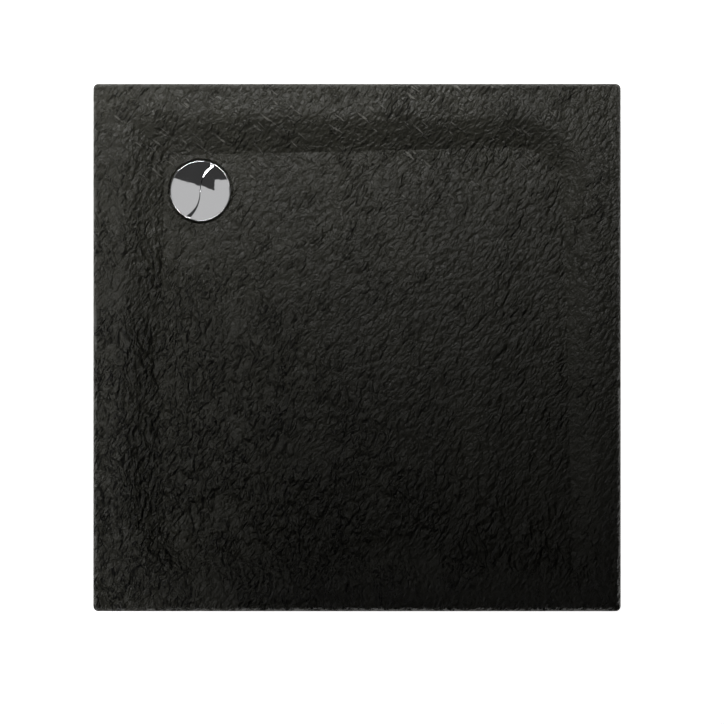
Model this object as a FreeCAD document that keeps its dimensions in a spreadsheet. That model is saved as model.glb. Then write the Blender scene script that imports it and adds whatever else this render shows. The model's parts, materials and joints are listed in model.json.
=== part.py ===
"""Square shower tray with a corner waste, built as a parametric assembly.

Units are millimetres. The origin is on the floor under the middle of the tray, +Z is up, the walls of
the room stand at -X and +Y, and the waste is in the corner between them. SIZES holds the driving
dimensions and PLACES the positions that follow from them. Each sub-part is one object of the document,
and its label names its file.
"""

import FreeCAD, Part
import math
import os
import re

import Sketcher
from FreeCAD import Placement, Rotation, Vector

SIZES = {
    # Tray shell, seen from above.
    "tray_width": 1000.0,
    "tray_length": 1000.0,
    "rim_height": 170.0,
    "shell_height": 60.0,
    "outer_corner": 10.0,
    "rim_round": 8.0,
    "deck_wall_side": 63.5,
    "deck_open_side": 55.0,
    "deck_round": 60.0,
    # Basin: the floor falls in both directions to the drain, and its walls have one slope.
    "drain_inset": 200.0,
    "floor_depth": 38.0,
    "floor_fall": 0.0125,
    "wall_run": 1.7,
    "drain_floor_corner": 6.0,
    "side_floor_corner": 92.0,
    "far_floor_corner": 14.0,
    "side_deck_corner": 140.0,
    "far_deck_corner": 46.0,
    # Layers of the reinforced shell.
    "shell_wall": 4.0,
    "backing_wall": 3.0,
    "backing_stop": 12.0,
    "board_wall": 15.0,
    "board_margin": 12.0,
    "board_notch": 85.0,
    "board_notch_corner": 20.0,
    # Waste hole and its recess in the floor.
    "hole_radius": 45.0,
    "recess_radius": 62.0,
    "recess_depth": 6.0,
    "recess_round": 2.0,
    # Waste flange and the seals on both sides of the tray.
    "hole_gap": 1.0,
    "seal_wall": 2.0,
    "body_seal_wall": 2.5,
    "seal_margin": 1.0,
    "flange_radius": 57.0,
    "flange_wall": 2.5,
    "flange_edge": 1.0,
    "neck_wall": 2.5,
    "ledge_radius": 33.0,
    "ledge_wall": 3.0,
    "ledge_drop": 6.0,
    # Screws between the flange and the trap.
    "clamp_circle": 37.0,
    "clamp_screw": 2.4,
    "clamp_head": 3.8,
    "clamp_reach": 14.0,
    "screw_gap": 0.05,
    # Trap.
    "clamp_stroke": 2.0,
    "trap_ring_radius": 58.0,
    "trap_ring_wall": 3.5,
    "trap_radius": 47.0,
    "trap_wall": 3.0,
    "trap_depth": 111.0,
    "trap_base_round": 12.0,
    "collar_radius": 32.0,
    "collar_height": 8.0,
    # Trap outlet, for a 40 mm waste pipe.
    "outlet_drop": 44.0,
    "outlet_bore": 18.0,
    "outlet_wall": 4.0,
    "outlet_neck": 12.0,
    "pipe_radius": 20.0,
    "pipe_gap": 0.25,
    "socket_depth": 30.0,
    "socket_wall": 4.75,
    "nut_overlap": 20.0,
    "nut_wall": 5.5,
    "nut_lip": 3.0,
    "nut_rib": 1.5,
    "nut_rib_width": 4.5,
    "cone_length": 5.0,
    "slip_wall": 1.2,
    "seat_gap": 0.3,
    # Dip tube that lifts out of the trap.
    "cup_rim_gap": 0.5,
    "cup_rim_wall": 2.0,
    "cup_radius": 30.5,
    "cup_wall": 2.0,
    "dip_depth": 90.0,
    "grid_bar": 3.0,
    "ring_section": 1.0,
    "ring_groove": 0.8,
    # Cover.
    "cover_radius": 57.5,
    "cover_gap": 2.5,
    "cover_edge": 2.0,
    "cover_dome": 3.0,
    "cover_wall": 1.5,
    "cover_bead": 1.5,
    "cover_bead_height": 0.4,
    "cover_leg_circle": 35.5,
    "cover_leg_wall": 3.0,
    "cover_leg_width": 9.0,
    # S-shaped crease across the cover: a straight middle and an arc at each end.
    "crease_straight": 40.0,
    "crease_radius": 33.0,
    "crease_turn": 70.0,
    "crease_tail": 0.3,
    "crease_width": 1.2,
    "crease_drop": 0.4,
    # Levelling feet.
    "foot_inset": 200.0,
    "foot_drain_gap": 180.0,
    "seat_radius": 42.0,
    "seat_wall": 6.0,
    "boss_height": 50.0,
    "boss_top_radius": 15.0,
    "boss_end_radius": 11.0,
    "boss_grip": 35.0,
    "boss_relief": 8.0,
    "boss_rib": 3.0,
    "rib_reach": 36.0,
    "rod_radius": 6.0,
    "rod_gap": 0.05,
    "rod_end_gap": 7.25,
    "rod_chamfer": 1.0,
    "rod_flat": 17.0,
    "rod_flat_height": 8.0,
    "rod_flat_gap": 3.0,
    "nut_flat": 19.0,
    "nut_height": 10.0,
    "nut_tip_margin": 1.0,
    "nut_bevel_angle": 30.0,
    "pad_radius": 30.0,
    "pad_wall": 5.0,
    "pad_height": 22.0,
    "pad_boss_radius": 13.0,
    "pad_edge": 1.5,
    "pad_rib": 3.0,
    "foot_screw_circle": 30.0,
    "foot_screw": 1.9,
    "foot_screw_head": 4.0,
    "foot_screw_bite": 11.0,
}
PLACES = {
    "drain_x": "drain_inset - tray_width / 2",
    "drain_y": "tray_length / 2 - drain_inset",
    "skirt_height": "rim_height - shell_height",
    # Edges of the deck towards the basin.
    "deck_left": "deck_wall_side - tray_width / 2",
    "deck_right": "tray_width / 2 - deck_open_side",
    "deck_back": "tray_length / 2 - deck_wall_side",
    "deck_front": "deck_open_side - tray_length / 2",
    # How far the edges of a sloping wall move in plan for each millimetre of offset.
    "wall_spread": "sqrt(wall_run ^ 2 + 1) - wall_run",
    # Basin depth at the four corners of the floor.
    "drain_depth": "(floor_depth + floor_fall * (drain_x - deck_left + deck_back - drain_y))"
    " / (1 + 2 * floor_fall * wall_run)",
    "back_depth": "floor_depth + floor_fall * (drain_x - deck_right + deck_back - drain_y)",
    "left_depth": "floor_depth + floor_fall * (drain_x - deck_left + deck_front - drain_y)",
    "far_depth": "(floor_depth + floor_fall * (drain_x - deck_right + deck_front - drain_y))"
    " / (1 - 2 * floor_fall * wall_run)",
    # Floor height over the origin, and its tilt about the diagonal through the origin.
    "floor_height": "rim_height - floor_depth + floor_fall * (drain_y - drain_x)",
    "floor_tilt": "atan(floor_fall * sqrt(2))",
    "layers": "shell_wall + backing_wall",
    "board_drop": "(layers + board_wall) * sqrt(1 + 2 * floor_fall ^ 2)",
    # Heights in the waste, from the recess floor.
    "recess_height": "rim_height - floor_depth - recess_depth",
    "flange_top": "seal_wall + flange_wall",
    "neck_radius": "hole_radius - hole_gap",
    "neck_bore": "neck_radius - neck_wall",
    "trap_top": "layers + body_seal_wall",
    "collar_top": "ledge_drop + ledge_wall + clamp_stroke",
    "trap_bore": "trap_radius - trap_wall",
    "outlet_height": "recess_height - outlet_drop",
    "cover_base": "flange_top + cover_gap",
    "cover_crown": "cover_base + cover_edge + cover_dome",
    "dome_radius": "((cover_radius - cover_bead) ^ 2 + cover_dome ^ 2) / (2 * cover_dome)",
    # Where the lines on both sides of the crease's arcs meet, and the length of an arm from there.
    "crease_tip": "crease_straight / 2 + crease_radius * tan(crease_turn / 2)",
    "crease_arm": "crease_radius * tan(crease_turn / 2) + crease_tail",
    # Distances along the outlet, from the axis of the trap.
    "pipe_bore": "pipe_radius + pipe_gap",
    "socket_start": "trap_radius + outlet_neck",
    "socket_end": "socket_start + socket_depth",
    "socket_radius": "pipe_bore + socket_wall",
    "cone_end": "socket_end + cone_length",
    "slip_end": "cone_end + seat_gap + slip_wall",
    "nut_start": "socket_end - nut_overlap",
    "nut_end": "slip_end + seat_gap + nut_lip",
    # Centres of the feet.
    "foot_left": "foot_inset - tray_width / 2",
    "foot_right": "tray_width / 2 - foot_inset",
    "foot_back": "tray_length / 2 - foot_inset",
    "foot_front": "foot_inset - tray_length / 2",
    "foot_beside_drain": "drain_y - foot_drain_gap",
    "foot_past_drain": "drain_x + foot_drain_gap",
    # The rods end just under the lowest seats, which are those beside the drain.
    "low_seat": "floor_height + floor_fall * (foot_left - foot_beside_drain) - board_drop",
    "rod_length": "low_seat - rod_end_gap - pad_wall",
}
FEET = {
    "left": ("places.foot_left", "places.foot_beside_drain"),
    "back": ("places.foot_past_drain", "places.foot_back"),
    "back_right": ("places.foot_right", "places.foot_back"),
    "front_left": ("places.foot_left", "places.foot_front"),
    "front_right": ("places.foot_right", "places.foot_front"),
    "centre": ("0", "0"),
}
CLAMP_HOLE = "dims.clamp_screw + dims.screw_gap"
FOOT_HOLE = "dims.foot_screw + dims.screw_gap"
SCREWS_PER_FOOT = 3
RIBS = 6
CLAMP_SCREWS = 3
COVER_LEGS = 3
NUT_RIBS = 8
LIP_MARGIN = 1.0
SKETCH_ORIGIN = -1
VERTICAL_AXIS = -2
START, END, CENTRE = 1, 2, 3

document = FreeCAD.newDocument("shower_tray")
sub_parts = []


# ---------------------------------------------------------------- sheets and expressions


def add_sheet(name, cells):
    """A sheet with one alias to a row: its name in column A and its number or formula in column B."""
    sheet = document.addObject("Spreadsheet::Sheet", name)
    for row, (alias, content) in enumerate(cells.items(), start=1):
        sheet.set(f"A{row}", alias)
        sheet.set(f"B{row}", str(content))
        sheet.setAlias(f"B{row}", alias)
    document.recompute()
    return sheet


def with_sheet_names(formula):
    """The formula with each driving dimension named as a cell of the first sheet."""
    return "=" + re.sub(r"[a-z_]+", lambda word: SHEET_OF.get(word[0], "") + word[0], formula)


SHEET_OF = {alias: "dims." for alias in SIZES}
dims = add_sheet("dims", SIZES)
places = add_sheet("places", {alias: with_sheet_names(formula) for alias, formula in PLACES.items()})


def value(expression):
    """An expression worked out as a number."""
    return float(dims.evalExpression(str(expression)))


# ---------------------------------------------------------------- sketches


def add_body(label, x="0", y="0", z="0", listed=True):
    """A body whose placement follows the sheets. Unlisted bodies are tools for cuts."""
    body = document.addObject("PartDesign::Body", label)
    body.Label = label
    for axis, place in zip("xyz", (x, y, z)):
        body.setExpression(f"Placement.Base.{axis}", place)
    if listed:
        sub_parts.append(body)
    return body


def put_on_plane(body, item, plane_role):
    """Attaches a sketch or plane to one of the body's own planes."""
    plane = next(plane for plane in body.Origin.OriginFeatures if plane.Role == plane_role)
    item.AttachmentSupport = [(plane, "")]
    item.MapMode = "FlatFace"


def tilt_onto_floor(body, item):
    """Attaches a sketch or plane to the body's XY plane, tilted as the basin's floor is."""
    put_on_plane(body, item, "XY_Plane")
    item.AttachmentOffset = Placement(Vector(), Rotation(Vector(-1, -1, 0), 1))
    item.setExpression("AttachmentOffset.Rotation.Angle", "places.floor_tilt")


def add_sketch(body, name, plane_role="XY_Plane", offset="0", tilted=False):
    """An empty sketch on one of the body's own planes, moved along the plane's normal."""
    sketch = body.newObject("Sketcher::SketchObject", name)
    if tilted:
        tilt_onto_floor(body, sketch)
    else:
        put_on_plane(body, sketch, plane_role)
    sketch.setExpression("AttachmentOffset.Base.z", offset)
    return sketch


def bind(sketch, kind, *arguments, to):
    """Adds a dimension to the sketch and ties it to an expression."""
    index = sketch.addConstraint(Sketcher.Constraint(kind, *arguments, value(to)))
    sketch.setExpression(f"Constraints[{index}]", to)


def pin_point(sketch, geometry, point, x, y):
    """Ties a point of the sketch to two coordinates."""
    bind(sketch, "DistanceX", SKETCH_ORIGIN, START, geometry, point, to=x)
    bind(sketch, "DistanceY", SKETCH_ORIGIN, START, geometry, point, to=y)


def corner_arc(before, tip, after, radius):
    """Where a rounded corner starts and ends, its centre, and whether it turns to the left."""
    incoming = (before - tip).normalize()
    outgoing = (after - tip).normalize()
    half_angle = incoming.getAngle(outgoing) / 2
    reach = radius / math.tan(half_angle)
    centre = tip + (incoming + outgoing).normalize() * (radius / math.sin(half_angle))
    turns_left = outgoing.cross(incoming).z > 0
    return tip + incoming * reach, tip + outgoing * reach, centre, turns_left


def draw_outline(sketch, corners):
    """A closed outline through corners given as (x, y), or as (x, y, radius) for a rounded one."""
    tips = [Vector(value(corner[0]), value(corner[1]), 0) for corner in corners]
    following = tips[1:] + tips[:1]
    arcs = [
        corner_arc(tips[index - 1], tips[index], following[index], value(corner[2]))
        if len(corner) > 2
        else (tips[index], tips[index], None, True)
        for index, corner in enumerate(corners)
    ]
    lines = [
        sketch.addGeometry(Part.LineSegment(arc[1], next_arc[0]), False)
        for arc, next_arc in zip(arcs, arcs[1:] + arcs[:1])
    ]
    for index, corner in enumerate(corners):
        entering, leaving = lines[index - 1], lines[index]
        first, last, centre, turns_left = arcs[index]
        if centre is None:
            sketch.addConstraint(Sketcher.Constraint("Coincident", entering, END, leaving, START))
            pin_point(sketch, leaving, START, *corner)
            continue
        if not turns_left:
            first, last = last, first
        angles = [math.atan2(point.y - centre.y, point.x - centre.x) for point in (first, last)]
        circle = Part.Circle(centre, Vector(0, 0, 1), value(corner[2]))
        arc = sketch.addGeometry(Part.ArcOfCircle(circle, *angles), False)
        first_end, last_end = (START, END) if turns_left else (END, START)
        sketch.addConstraint(Sketcher.Constraint("Tangent", entering, END, arc, first_end))
        sketch.addConstraint(Sketcher.Constraint("Tangent", leaving, START, arc, last_end))
        bind(sketch, "Radius", arc, to=corner[2])
        tip = sketch.addGeometry(Part.Point(tips[index]), True)
        sketch.addConstraint(Sketcher.Constraint("PointOnObject", tip, START, entering))
        sketch.addConstraint(Sketcher.Constraint("PointOnObject", tip, START, leaving))
        pin_point(sketch, tip, START, corner[0], corner[1])


def draw_circle(sketch, radius, x="0", y="0"):
    """A circle tied to its centre and radius."""
    centre = Vector(value(x), value(y), 0)
    circle = sketch.addGeometry(Part.Circle(centre, Vector(0, 0, 1), value(radius)), False)
    pin_point(sketch, circle, CENTRE, x, y)
    bind(sketch, "Radius", circle, to=radius)


def draw_rectangle(sketch, low_x, low_y, high_x, high_y):
    """A rectangle between two opposite corners."""
    draw_outline(sketch, [(low_x, low_y), (high_x, low_y), (high_x, high_y), (low_x, high_y)])


def draw_hexagon(sketch, across_flats):
    """A hexagon about the sketch's origin, two of its corners on the X axis."""
    reach = f"({across_flats} / sqrt(3))"
    corners = [(f"{reach} * cos({60 * turn})", f"{reach} * sin({60 * turn})") for turn in range(6)]
    draw_outline(sketch, corners)


# ---------------------------------------------------------------- features


def extrude(body, name, sketch, length, cut=False, reverse=False, both=False):
    """Adds or removes the sketch's outline over a length. Reversed, it goes the other way."""
    feature = body.newObject("PartDesign::Pocket" if cut else "PartDesign::Pad", name)
    feature.Profile = sketch
    feature.setExpression("Length", length)
    feature.Reversed = reverse
    if both:
        feature.SideType = "Symmetric"
    document.recompute()
    return feature


def turn(body, name, profile, cut=False):
    """Revolves or grooves a profile, given as radius and height, about the body's Z axis."""
    sketch = add_sketch(body, name + "_profile", "XZ_Plane")
    draw_outline(sketch, profile)
    feature = body.newObject("PartDesign::Groove" if cut else "PartDesign::Revolution", name)
    feature.Profile = sketch
    feature.ReferenceAxis = (sketch, ["V_Axis"])
    feature.Angle = 360
    document.recompute()
    return feature


def repeat_round(body, name, feature, sketch, count):
    """Repeats a feature about the normal through its sketch's origin."""
    pattern = body.newObject("PartDesign::PolarPattern", name)
    pattern.Originals = [feature]
    pattern.Axis = (sketch, ["N_Axis"])
    pattern.Angle = 360
    pattern.Occurrences = count
    body.Tip = pattern
    document.recompute()
    return pattern


def starts_at(item, height):
    """Whether an edge or face has nothing under a height."""
    return math.isclose(item.BoundBox.ZMin, height, abs_tol=1e-3)


def edge_names(shape, wanted):
    """Names of the edges that a test accepts."""
    return [f"Edge{index}" for index, edge in enumerate(shape.Edges, start=1) if wanted(edge)]


def round_edges(body, name, base, radius, wanted):
    """A fillet on the base feature's edges that a test accepts."""
    fillet = body.newObject("PartDesign::Fillet", name)
    fillet.Base = (base, edge_names(base.Shape, wanted))
    fillet.setExpression("Radius", radius)
    document.recompute()
    return fillet


def sink_holes(body, name, base, hole_radius, sink, height):
    """Conical seats for screw heads on the round holes of a radius that end at a height."""
    radius, level = value(hole_radius), value(height)

    def is_rim(edge):
        round_edge = isinstance(edge.Curve, Part.Circle) and math.isclose(edge.Curve.Radius, radius)
        return round_edge and math.isclose(edge.CenterOfMass.z, level, abs_tol=1e-3)

    chamfer = body.newObject("PartDesign::Chamfer", name)
    chamfer.Base = (base, edge_names(base.Shape, is_rim))
    chamfer.setExpression("Size", sink)
    document.recompute()
    return chamfer


def cut_shape(label, base, tool, listed=True):
    """One shape less another."""
    cut = document.addObject("Part::Cut", label)
    cut.Label = label
    cut.Base = base
    cut.Tool = tool
    document.recompute()
    if listed:
        sub_parts.append(cut)
    return cut


# ---------------------------------------------------------------- tray shell and its layers


def deck_corners(spread):
    """Corners of the basin at deck level, each wall moved out by the spread."""
    left, right = f"places.deck_left - {spread}", f"places.deck_right + {spread}"
    front, back = f"places.deck_front - {spread}", f"places.deck_back + {spread}"
    return [
        (left, front, f"dims.side_deck_corner + {spread}"),
        (right, front, f"dims.far_deck_corner + {spread}"),
        (right, back, f"dims.side_deck_corner + {spread}"),
        (left, back),
    ]


def floor_corners(spread, radius_spread):
    """Corners of the floor, where the sloping walls meet it, moved out by the spread."""
    left, right = f"places.deck_left - {spread}", f"places.deck_right + {spread}"
    front, back = f"places.deck_front - {spread}", f"places.deck_back + {spread}"
    left_run, far_run, back_run, drain_run = (
        f"dims.wall_run * places.{corner}_depth" for corner in ("left", "far", "back", "drain")
    )
    return [
        (f"{left} + {left_run}", f"{front} + {left_run}", f"dims.side_floor_corner + {radius_spread}"),
        (f"{right} - {far_run}", f"{front} + {far_run}", f"dims.far_floor_corner + {radius_spread}"),
        (f"{right} - {back_run}", f"{back} - {back_run}", f"dims.side_floor_corner + {radius_spread}"),
        (f"{left} + {drain_run}", f"{back} - {drain_run}", f"dims.drain_floor_corner + {radius_spread}"),
    ]


def tray_form(label, inset, base_height):
    """The tray as a solid block with its basin and recess, every face moved in by the inset."""
    body = add_body(label, listed=False)
    half_width, half_length = f"(dims.tray_width / 2 - {inset})", f"(dims.tray_length / 2 - {inset})"
    corner = f"dims.outer_corner - {inset}"
    outline = add_sketch(body, label + "_outline", offset=base_height)
    signs = [(-1, -1), (1, -1), (1, 1), (-1, 1)]
    draw_outline(outline, [(f"{x} * {half_width}", f"{y} * {half_length}", corner) for x, y in signs])
    block = extrude(body, label + "_block", outline, f"dims.rim_height - {inset} - {base_height}")
    top = value(f"dims.rim_height - {inset}")
    rim = round_edges(
        body,
        label + "_rim",
        block,
        f"dims.rim_round - {inset}",
        lambda edge: starts_at(edge, top),
    )
    deck = add_sketch(body, label + "_deck", offset=f"dims.rim_height - {inset}")
    draw_outline(deck, deck_corners(f"places.wall_spread * {inset}"))
    basin = body.newObject("PartDesign::Pocket", label + "_basin")
    basin.Profile = deck
    basin.Type = "UpToFace"
    basin.UpToFace = (add_floor_plane(body, label, inset), [""])
    document.recompute()
    walls = slope_walls(body, label, basin, top)
    rim_edges = {tuple(edge.CenterOfMass) for edge in rim.Shape.Edges}
    round_edges(
        body,
        label + "_deck_round",
        walls,
        f"dims.deck_round - {inset}",
        lambda edge: starts_at(edge, top) and tuple(edge.CenterOfMass) not in rim_edges,
    )
    recess = add_sketch(body, label + "_recess_outline", offset=f"places.recess_height - {inset}")
    draw_circle(recess, f"dims.recess_radius + {inset}", "places.drain_x", "places.drain_y")
    return body, extrude(body, label + "_recess", recess, "dims.floor_depth", cut=True, reverse=True)


def add_floor_plane(body, label, inset):
    """A plane that falls to the drain, lowered by the inset."""
    plane = body.newObject("PartDesign::Plane", label + "_floor")
    tilt_onto_floor(body, plane)
    plane.setExpression("AttachmentOffset.Base.z", f"places.floor_height - {inset}")
    document.recompute()
    return plane


def slope_walls(body, label, basin, top):
    """Leans the basin's upright walls out from the deck, so that they meet in planes and cones."""
    names = {}
    for index, face in enumerate(basin.Shape.Faces, start=1):
        low_u, high_u, low_v, high_v = face.ParameterRange
        normal = face.normalAt((low_u + high_u) / 2, (low_v + high_v) / 2)
        in_block = basin.BaseFeature.Shape.isInside(face.CenterOfMass + normal, 0.1, False)
        reaches_deck = math.isclose(face.BoundBox.ZMax, top, abs_tol=1e-3)
        if reaches_deck and abs(normal.z) < 1e-6 and in_block:
            names.setdefault("walls", []).append(f"Face{index}")
        if starts_at(face, top):
            names["deck"] = [f"Face{index}"]
    draft = body.newObject("PartDesign::Draft", label + "_walls")
    draft.Base = (basin, names["walls"])
    draft.NeutralPlane = (basin, names["deck"])
    draft.setExpression("Angle", "atan(dims.wall_run)")
    document.recompute()
    return draft


def round_recess(body, recess):
    """Softens the lip where the floor drops into the recess."""
    recess_floor = value("places.recess_height")
    lip_length = value("2 * pi * dims.recess_radius")
    return round_edges(
        body,
        body.Label + "_lip",
        recess,
        "dims.recess_round",
        lambda edge: math.isclose(edge.Length, lip_length, rel_tol=1e-3)
        and edge.BoundBox.ZMin > recess_floor + LIP_MARGIN,
    )


def add_layers():
    """The moulded shell and the laminate behind it, each the difference of two nested forms."""
    skirt = "places.skirt_height"
    laminate_end = f"({skirt} + dims.backing_stop)"
    outside, recess = tray_form("shell_outside", "0", skirt)
    round_recess(outside, recess)
    inside, _ = tray_form("shell_inside", "dims.shell_wall", f"({skirt} - dims.shell_wall)")
    backing_outside, _ = tray_form("backing_outside", "dims.shell_wall", laminate_end)
    backing_inside, _ = tray_form("backing_inside", "places.layers", skirt)
    hole = document.addObject("Part::Cylinder", "waste_hole")
    hole.setExpression("Radius", "dims.hole_radius")
    hole.setExpression("Height", "dims.rim_height")
    hole.setExpression("Placement.Base.x", "places.drain_x")
    hole.setExpression("Placement.Base.y", "places.drain_y")
    shell = cut_shape("shell_hollow", outside, inside, listed=False)
    cut_shape("tray_shell", shell, hole)
    backing = cut_shape("backing_hollow", backing_outside, backing_inside, listed=False)
    cut_shape("glass_fibre_backing", backing, hole)


def foot_screw_places(x, y):
    """Centres of the screws round a foot, between its ribs."""
    for number in range(SCREWS_PER_FOOT):
        angle = 360 * number / SCREWS_PER_FOOT + 180 / RIBS
        yield (
            f"{x} + dims.foot_screw_circle * cos({angle})",
            f"{y} + dims.foot_screw_circle * sin({angle})",
        )


def add_board():
    """Chipboard panel that lies under the floor and leaves the drain's corner free."""
    body = add_body("base_board")
    outline = add_sketch(body, "board_outline", offset="places.floor_height - places.layers", tilted=True)
    draw_outline(outline, floor_corners("(0 - dims.board_margin)", "0"))
    extrude(body, "board", outline, "dims.board_wall", reverse=True)
    notch = add_sketch(body, "notch_outline")
    inner_x, inner_y = "(places.drain_x + dims.board_notch)", "(places.drain_y - dims.board_notch)"
    outer_x, outer_y = "(-dims.tray_width / 2)", "(dims.tray_length / 2)"
    corners = [
        (outer_x, inner_y),
        (inner_x, inner_y, "dims.board_notch_corner"),
        (inner_x, outer_y),
        (outer_x, outer_y),
    ]
    draw_outline(notch, corners)
    extrude(body, "notch", notch, "dims.rim_height", cut=True, reverse=True)
    pilots = add_sketch(body, "pilot_outlines")
    for x, y in FEET.values():
        for screw_x, screw_y in foot_screw_places(x, y):
            draw_circle(pilots, FOOT_HOLE, screw_x, screw_y)
    extrude(body, "pilots", pilots, "dims.rim_height", cut=True, reverse=True)


# ---------------------------------------------------------------- waste


def add_waste_body(label, listed=True):
    """A body on the drain's axis whose origin is in the recess floor."""
    return add_body(label, "places.drain_x", "places.drain_y", "places.recess_height", listed)


def add_ring(label, inner, outer, bottom, top):
    """A plain flat ring on the drain's axis."""
    body = add_waste_body(label)
    turn(body, label + "_ring", [(inner, bottom), (outer, bottom), (outer, top), (inner, top)])
    return body


def add_seals():
    """Flat seals above and below the tray, round its hole."""
    inner = "dims.hole_radius + dims.seal_margin"
    outer = "dims.flange_radius - dims.seal_margin"
    add_ring("flange_seal", inner, outer, "0", "dims.seal_wall")
    add_ring("body_seal", inner, outer, "-places.trap_top", "-places.layers")


def add_flange():
    """Dished flange: a plate in the recess, a neck through the hole and a ledge for the dip tube."""
    body = add_waste_body("waste_flange")
    plate, top = "dims.seal_wall", "places.flange_top"
    ledge, under = "-dims.ledge_drop", "(-dims.ledge_drop - dims.ledge_wall)"
    profile = [
        ("dims.ledge_radius", under),
        ("places.neck_radius", under),
        ("places.neck_radius", plate),
        ("dims.flange_radius", plate),
        ("dims.flange_radius", f"{top} - dims.flange_edge"),
        ("dims.flange_radius - dims.flange_edge", top),
        ("places.neck_bore + dims.flange_edge", top),
        ("places.neck_bore", f"{top} - dims.flange_edge"),
        ("places.neck_bore", ledge),
        ("dims.ledge_radius", ledge),
    ]
    turn(body, "flange_ring", profile)
    holes = drill_clamp_holes(body, "flange_hole", "dims.ledge_wall", ledge)
    sink = "dims.clamp_head - dims.clamp_screw"
    sink_holes(body, "flange_seats", holes, CLAMP_HOLE, sink, ledge)


def drill_clamp_holes(body, name, depth, top):
    """Screw holes on the clamp circle."""
    outline = add_sketch(body, name + "_outline", offset=top)
    draw_circle(outline, CLAMP_HOLE, "dims.clamp_circle")
    hole = extrude(body, name, outline, depth, cut=True)
    return repeat_round(body, name + "s", hole, outline, CLAMP_SCREWS)


def add_trap():
    """Trap below the hole: clamping ring, screw collar, round body and a side outlet."""
    body = add_waste_body("trap_body")
    ring_top, ring_end = "-places.trap_top", "(-places.trap_top - dims.trap_ring_wall)"
    collar_top, collar_end = "-places.collar_top", "(-places.collar_top - dims.collar_height)"
    base, floor = "-dims.trap_depth", "(-dims.trap_depth + dims.trap_wall)"
    inner_round = "(dims.trap_base_round - dims.trap_wall)"
    profile = [
        ("0", base),
        ("dims.trap_radius", base, "dims.trap_base_round"),
        ("dims.trap_radius", ring_end),
        ("dims.trap_ring_radius", ring_end),
        ("dims.trap_ring_radius", ring_top),
        ("places.trap_bore", ring_top),
        ("places.trap_bore", collar_top),
        ("dims.collar_radius", collar_top),
        ("dims.collar_radius", collar_end),
        ("places.trap_bore", f"{collar_end} - (places.trap_bore - dims.collar_radius) / 2"),
        ("places.trap_bore", f"{floor} + {inner_round}"),
        (f"places.trap_bore - {inner_round}", floor),
        ("0", floor),
    ]
    turn(body, "trap_wall", profile)
    drill_clamp_holes(body, "trap_hole", "dims.clamp_reach - dims.clamp_stroke", collar_top)
    add_outlet(body)


def add_outlet(body):
    """Outlet neck and pipe socket of the trap, pointing to -X."""
    neck_radius = "dims.outlet_bore + dims.outlet_wall"
    step, end = "places.socket_start", "places.socket_end"
    runs = [
        ("outlet_neck", neck_radius, "places.trap_bore", step, False),
        ("outlet_socket", "places.socket_radius", f"{step} - dims.outlet_wall", end, False),
        ("outlet_bore", "dims.outlet_bore", "dims.collar_radius", step, True),
        ("outlet_pipe_seat", "places.pipe_bore", step, end, True),
    ]
    for name, radius, start, end, cut in runs:
        outline = add_sketch(body, name + "_outline", "YZ_Plane", f"-({start})")
        draw_circle(outline, radius, "0", "-dims.outlet_drop")
        extrude(body, name, outline, f"{end} - ({start})", cut=cut, reverse=not cut)


def add_outlet_body(label):
    """A body whose Z axis is the outlet's, with its origin on the trap's axis."""
    body = add_waste_body(label)
    body.Placement = Placement(Vector(), Rotation(Vector(0, 1, 0), -90))
    body.setExpression("Placement.Base.x", "places.drain_x")
    body.setExpression("Placement.Base.y", "places.drain_y")
    body.setExpression("Placement.Base.z", "places.outlet_height")
    return body


def add_outlet_joint():
    """Nut, slip ring and cone seal that clamp the waste pipe in its socket."""
    bore, thread = "places.pipe_bore", "places.socket_radius"
    rim = f"{thread} - dims.seat_gap"
    seal = add_outlet_body("outlet_seal")
    cone = [
        (bore, "places.socket_end"),
        (f"{bore} + dims.socket_wall / 2", "places.socket_end"),
        (rim, "places.cone_end - dims.slip_wall"),
        (rim, "places.cone_end"),
        (bore, "places.cone_end"),
    ]
    turn(seal, "cone", cone)
    slip = add_outlet_body("outlet_ring")
    low, high = "places.cone_end", "places.slip_end - dims.seat_gap"
    turn(slip, "slip", [(bore, low), (rim, low), (rim, high), (bore, high)])
    nut = add_outlet_body("outlet_nut")
    inner, outer = f"{thread} + dims.seat_gap", f"{thread} + dims.nut_wall"
    lip = "places.nut_end - dims.nut_lip"
    profile = [
        (inner, "places.nut_start"),
        (outer, "places.nut_start"),
        (outer, "places.nut_end - dims.nut_rib"),
        (f"{outer} - dims.nut_rib", "places.nut_end"),
        (bore, "places.nut_end"),
        (bore, lip),
        (inner, lip),
    ]
    turn(nut, "nut_wall", profile)
    rib_outline = add_sketch(nut, "nut_rib_outline", offset="places.nut_start")
    half = "dims.nut_rib_width / 2"
    draw_rectangle(rib_outline, f"{outer} - dims.nut_rib", f"-{half}", f"{outer} + dims.nut_rib", half)
    rib_length = "places.nut_end - places.nut_start - 2 * dims.nut_rib"
    rib = extrude(nut, "nut_rib", rib_outline, rib_length)
    repeat_round(nut, "nut_ribs", rib, rib_outline, NUT_RIBS)


def add_clamp_screws():
    """The countersunk screws that pull the flange and the trap together."""
    head = "dims.clamp_head"
    screw = add_screw("clamp_screw", "dims.clamp_screw", head, "dims.clamp_reach - dims.screw_gap")
    spots = []
    for number in range(CLAMP_SCREWS):
        angle = 360 * number / CLAMP_SCREWS
        spots.append((
            f"places.drain_x + dims.clamp_circle * cos({angle})",
            f"places.drain_y + dims.clamp_circle * sin({angle})",
            "places.recess_height - dims.ledge_drop",
        ))
    add_copies("flange_screws", screw, spots)


def add_screw(label, radius, head, length):
    """A countersunk screw hanging down from its head, whose top is at the origin."""
    body = add_body(label, listed=False)
    end, neck = f"-({length})", f"-({head} - {radius})"
    turn(body, label + "_shank", [("0", end), (radius, end), (radius, neck), (head, "0"), ("0", "0")])
    return body


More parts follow.
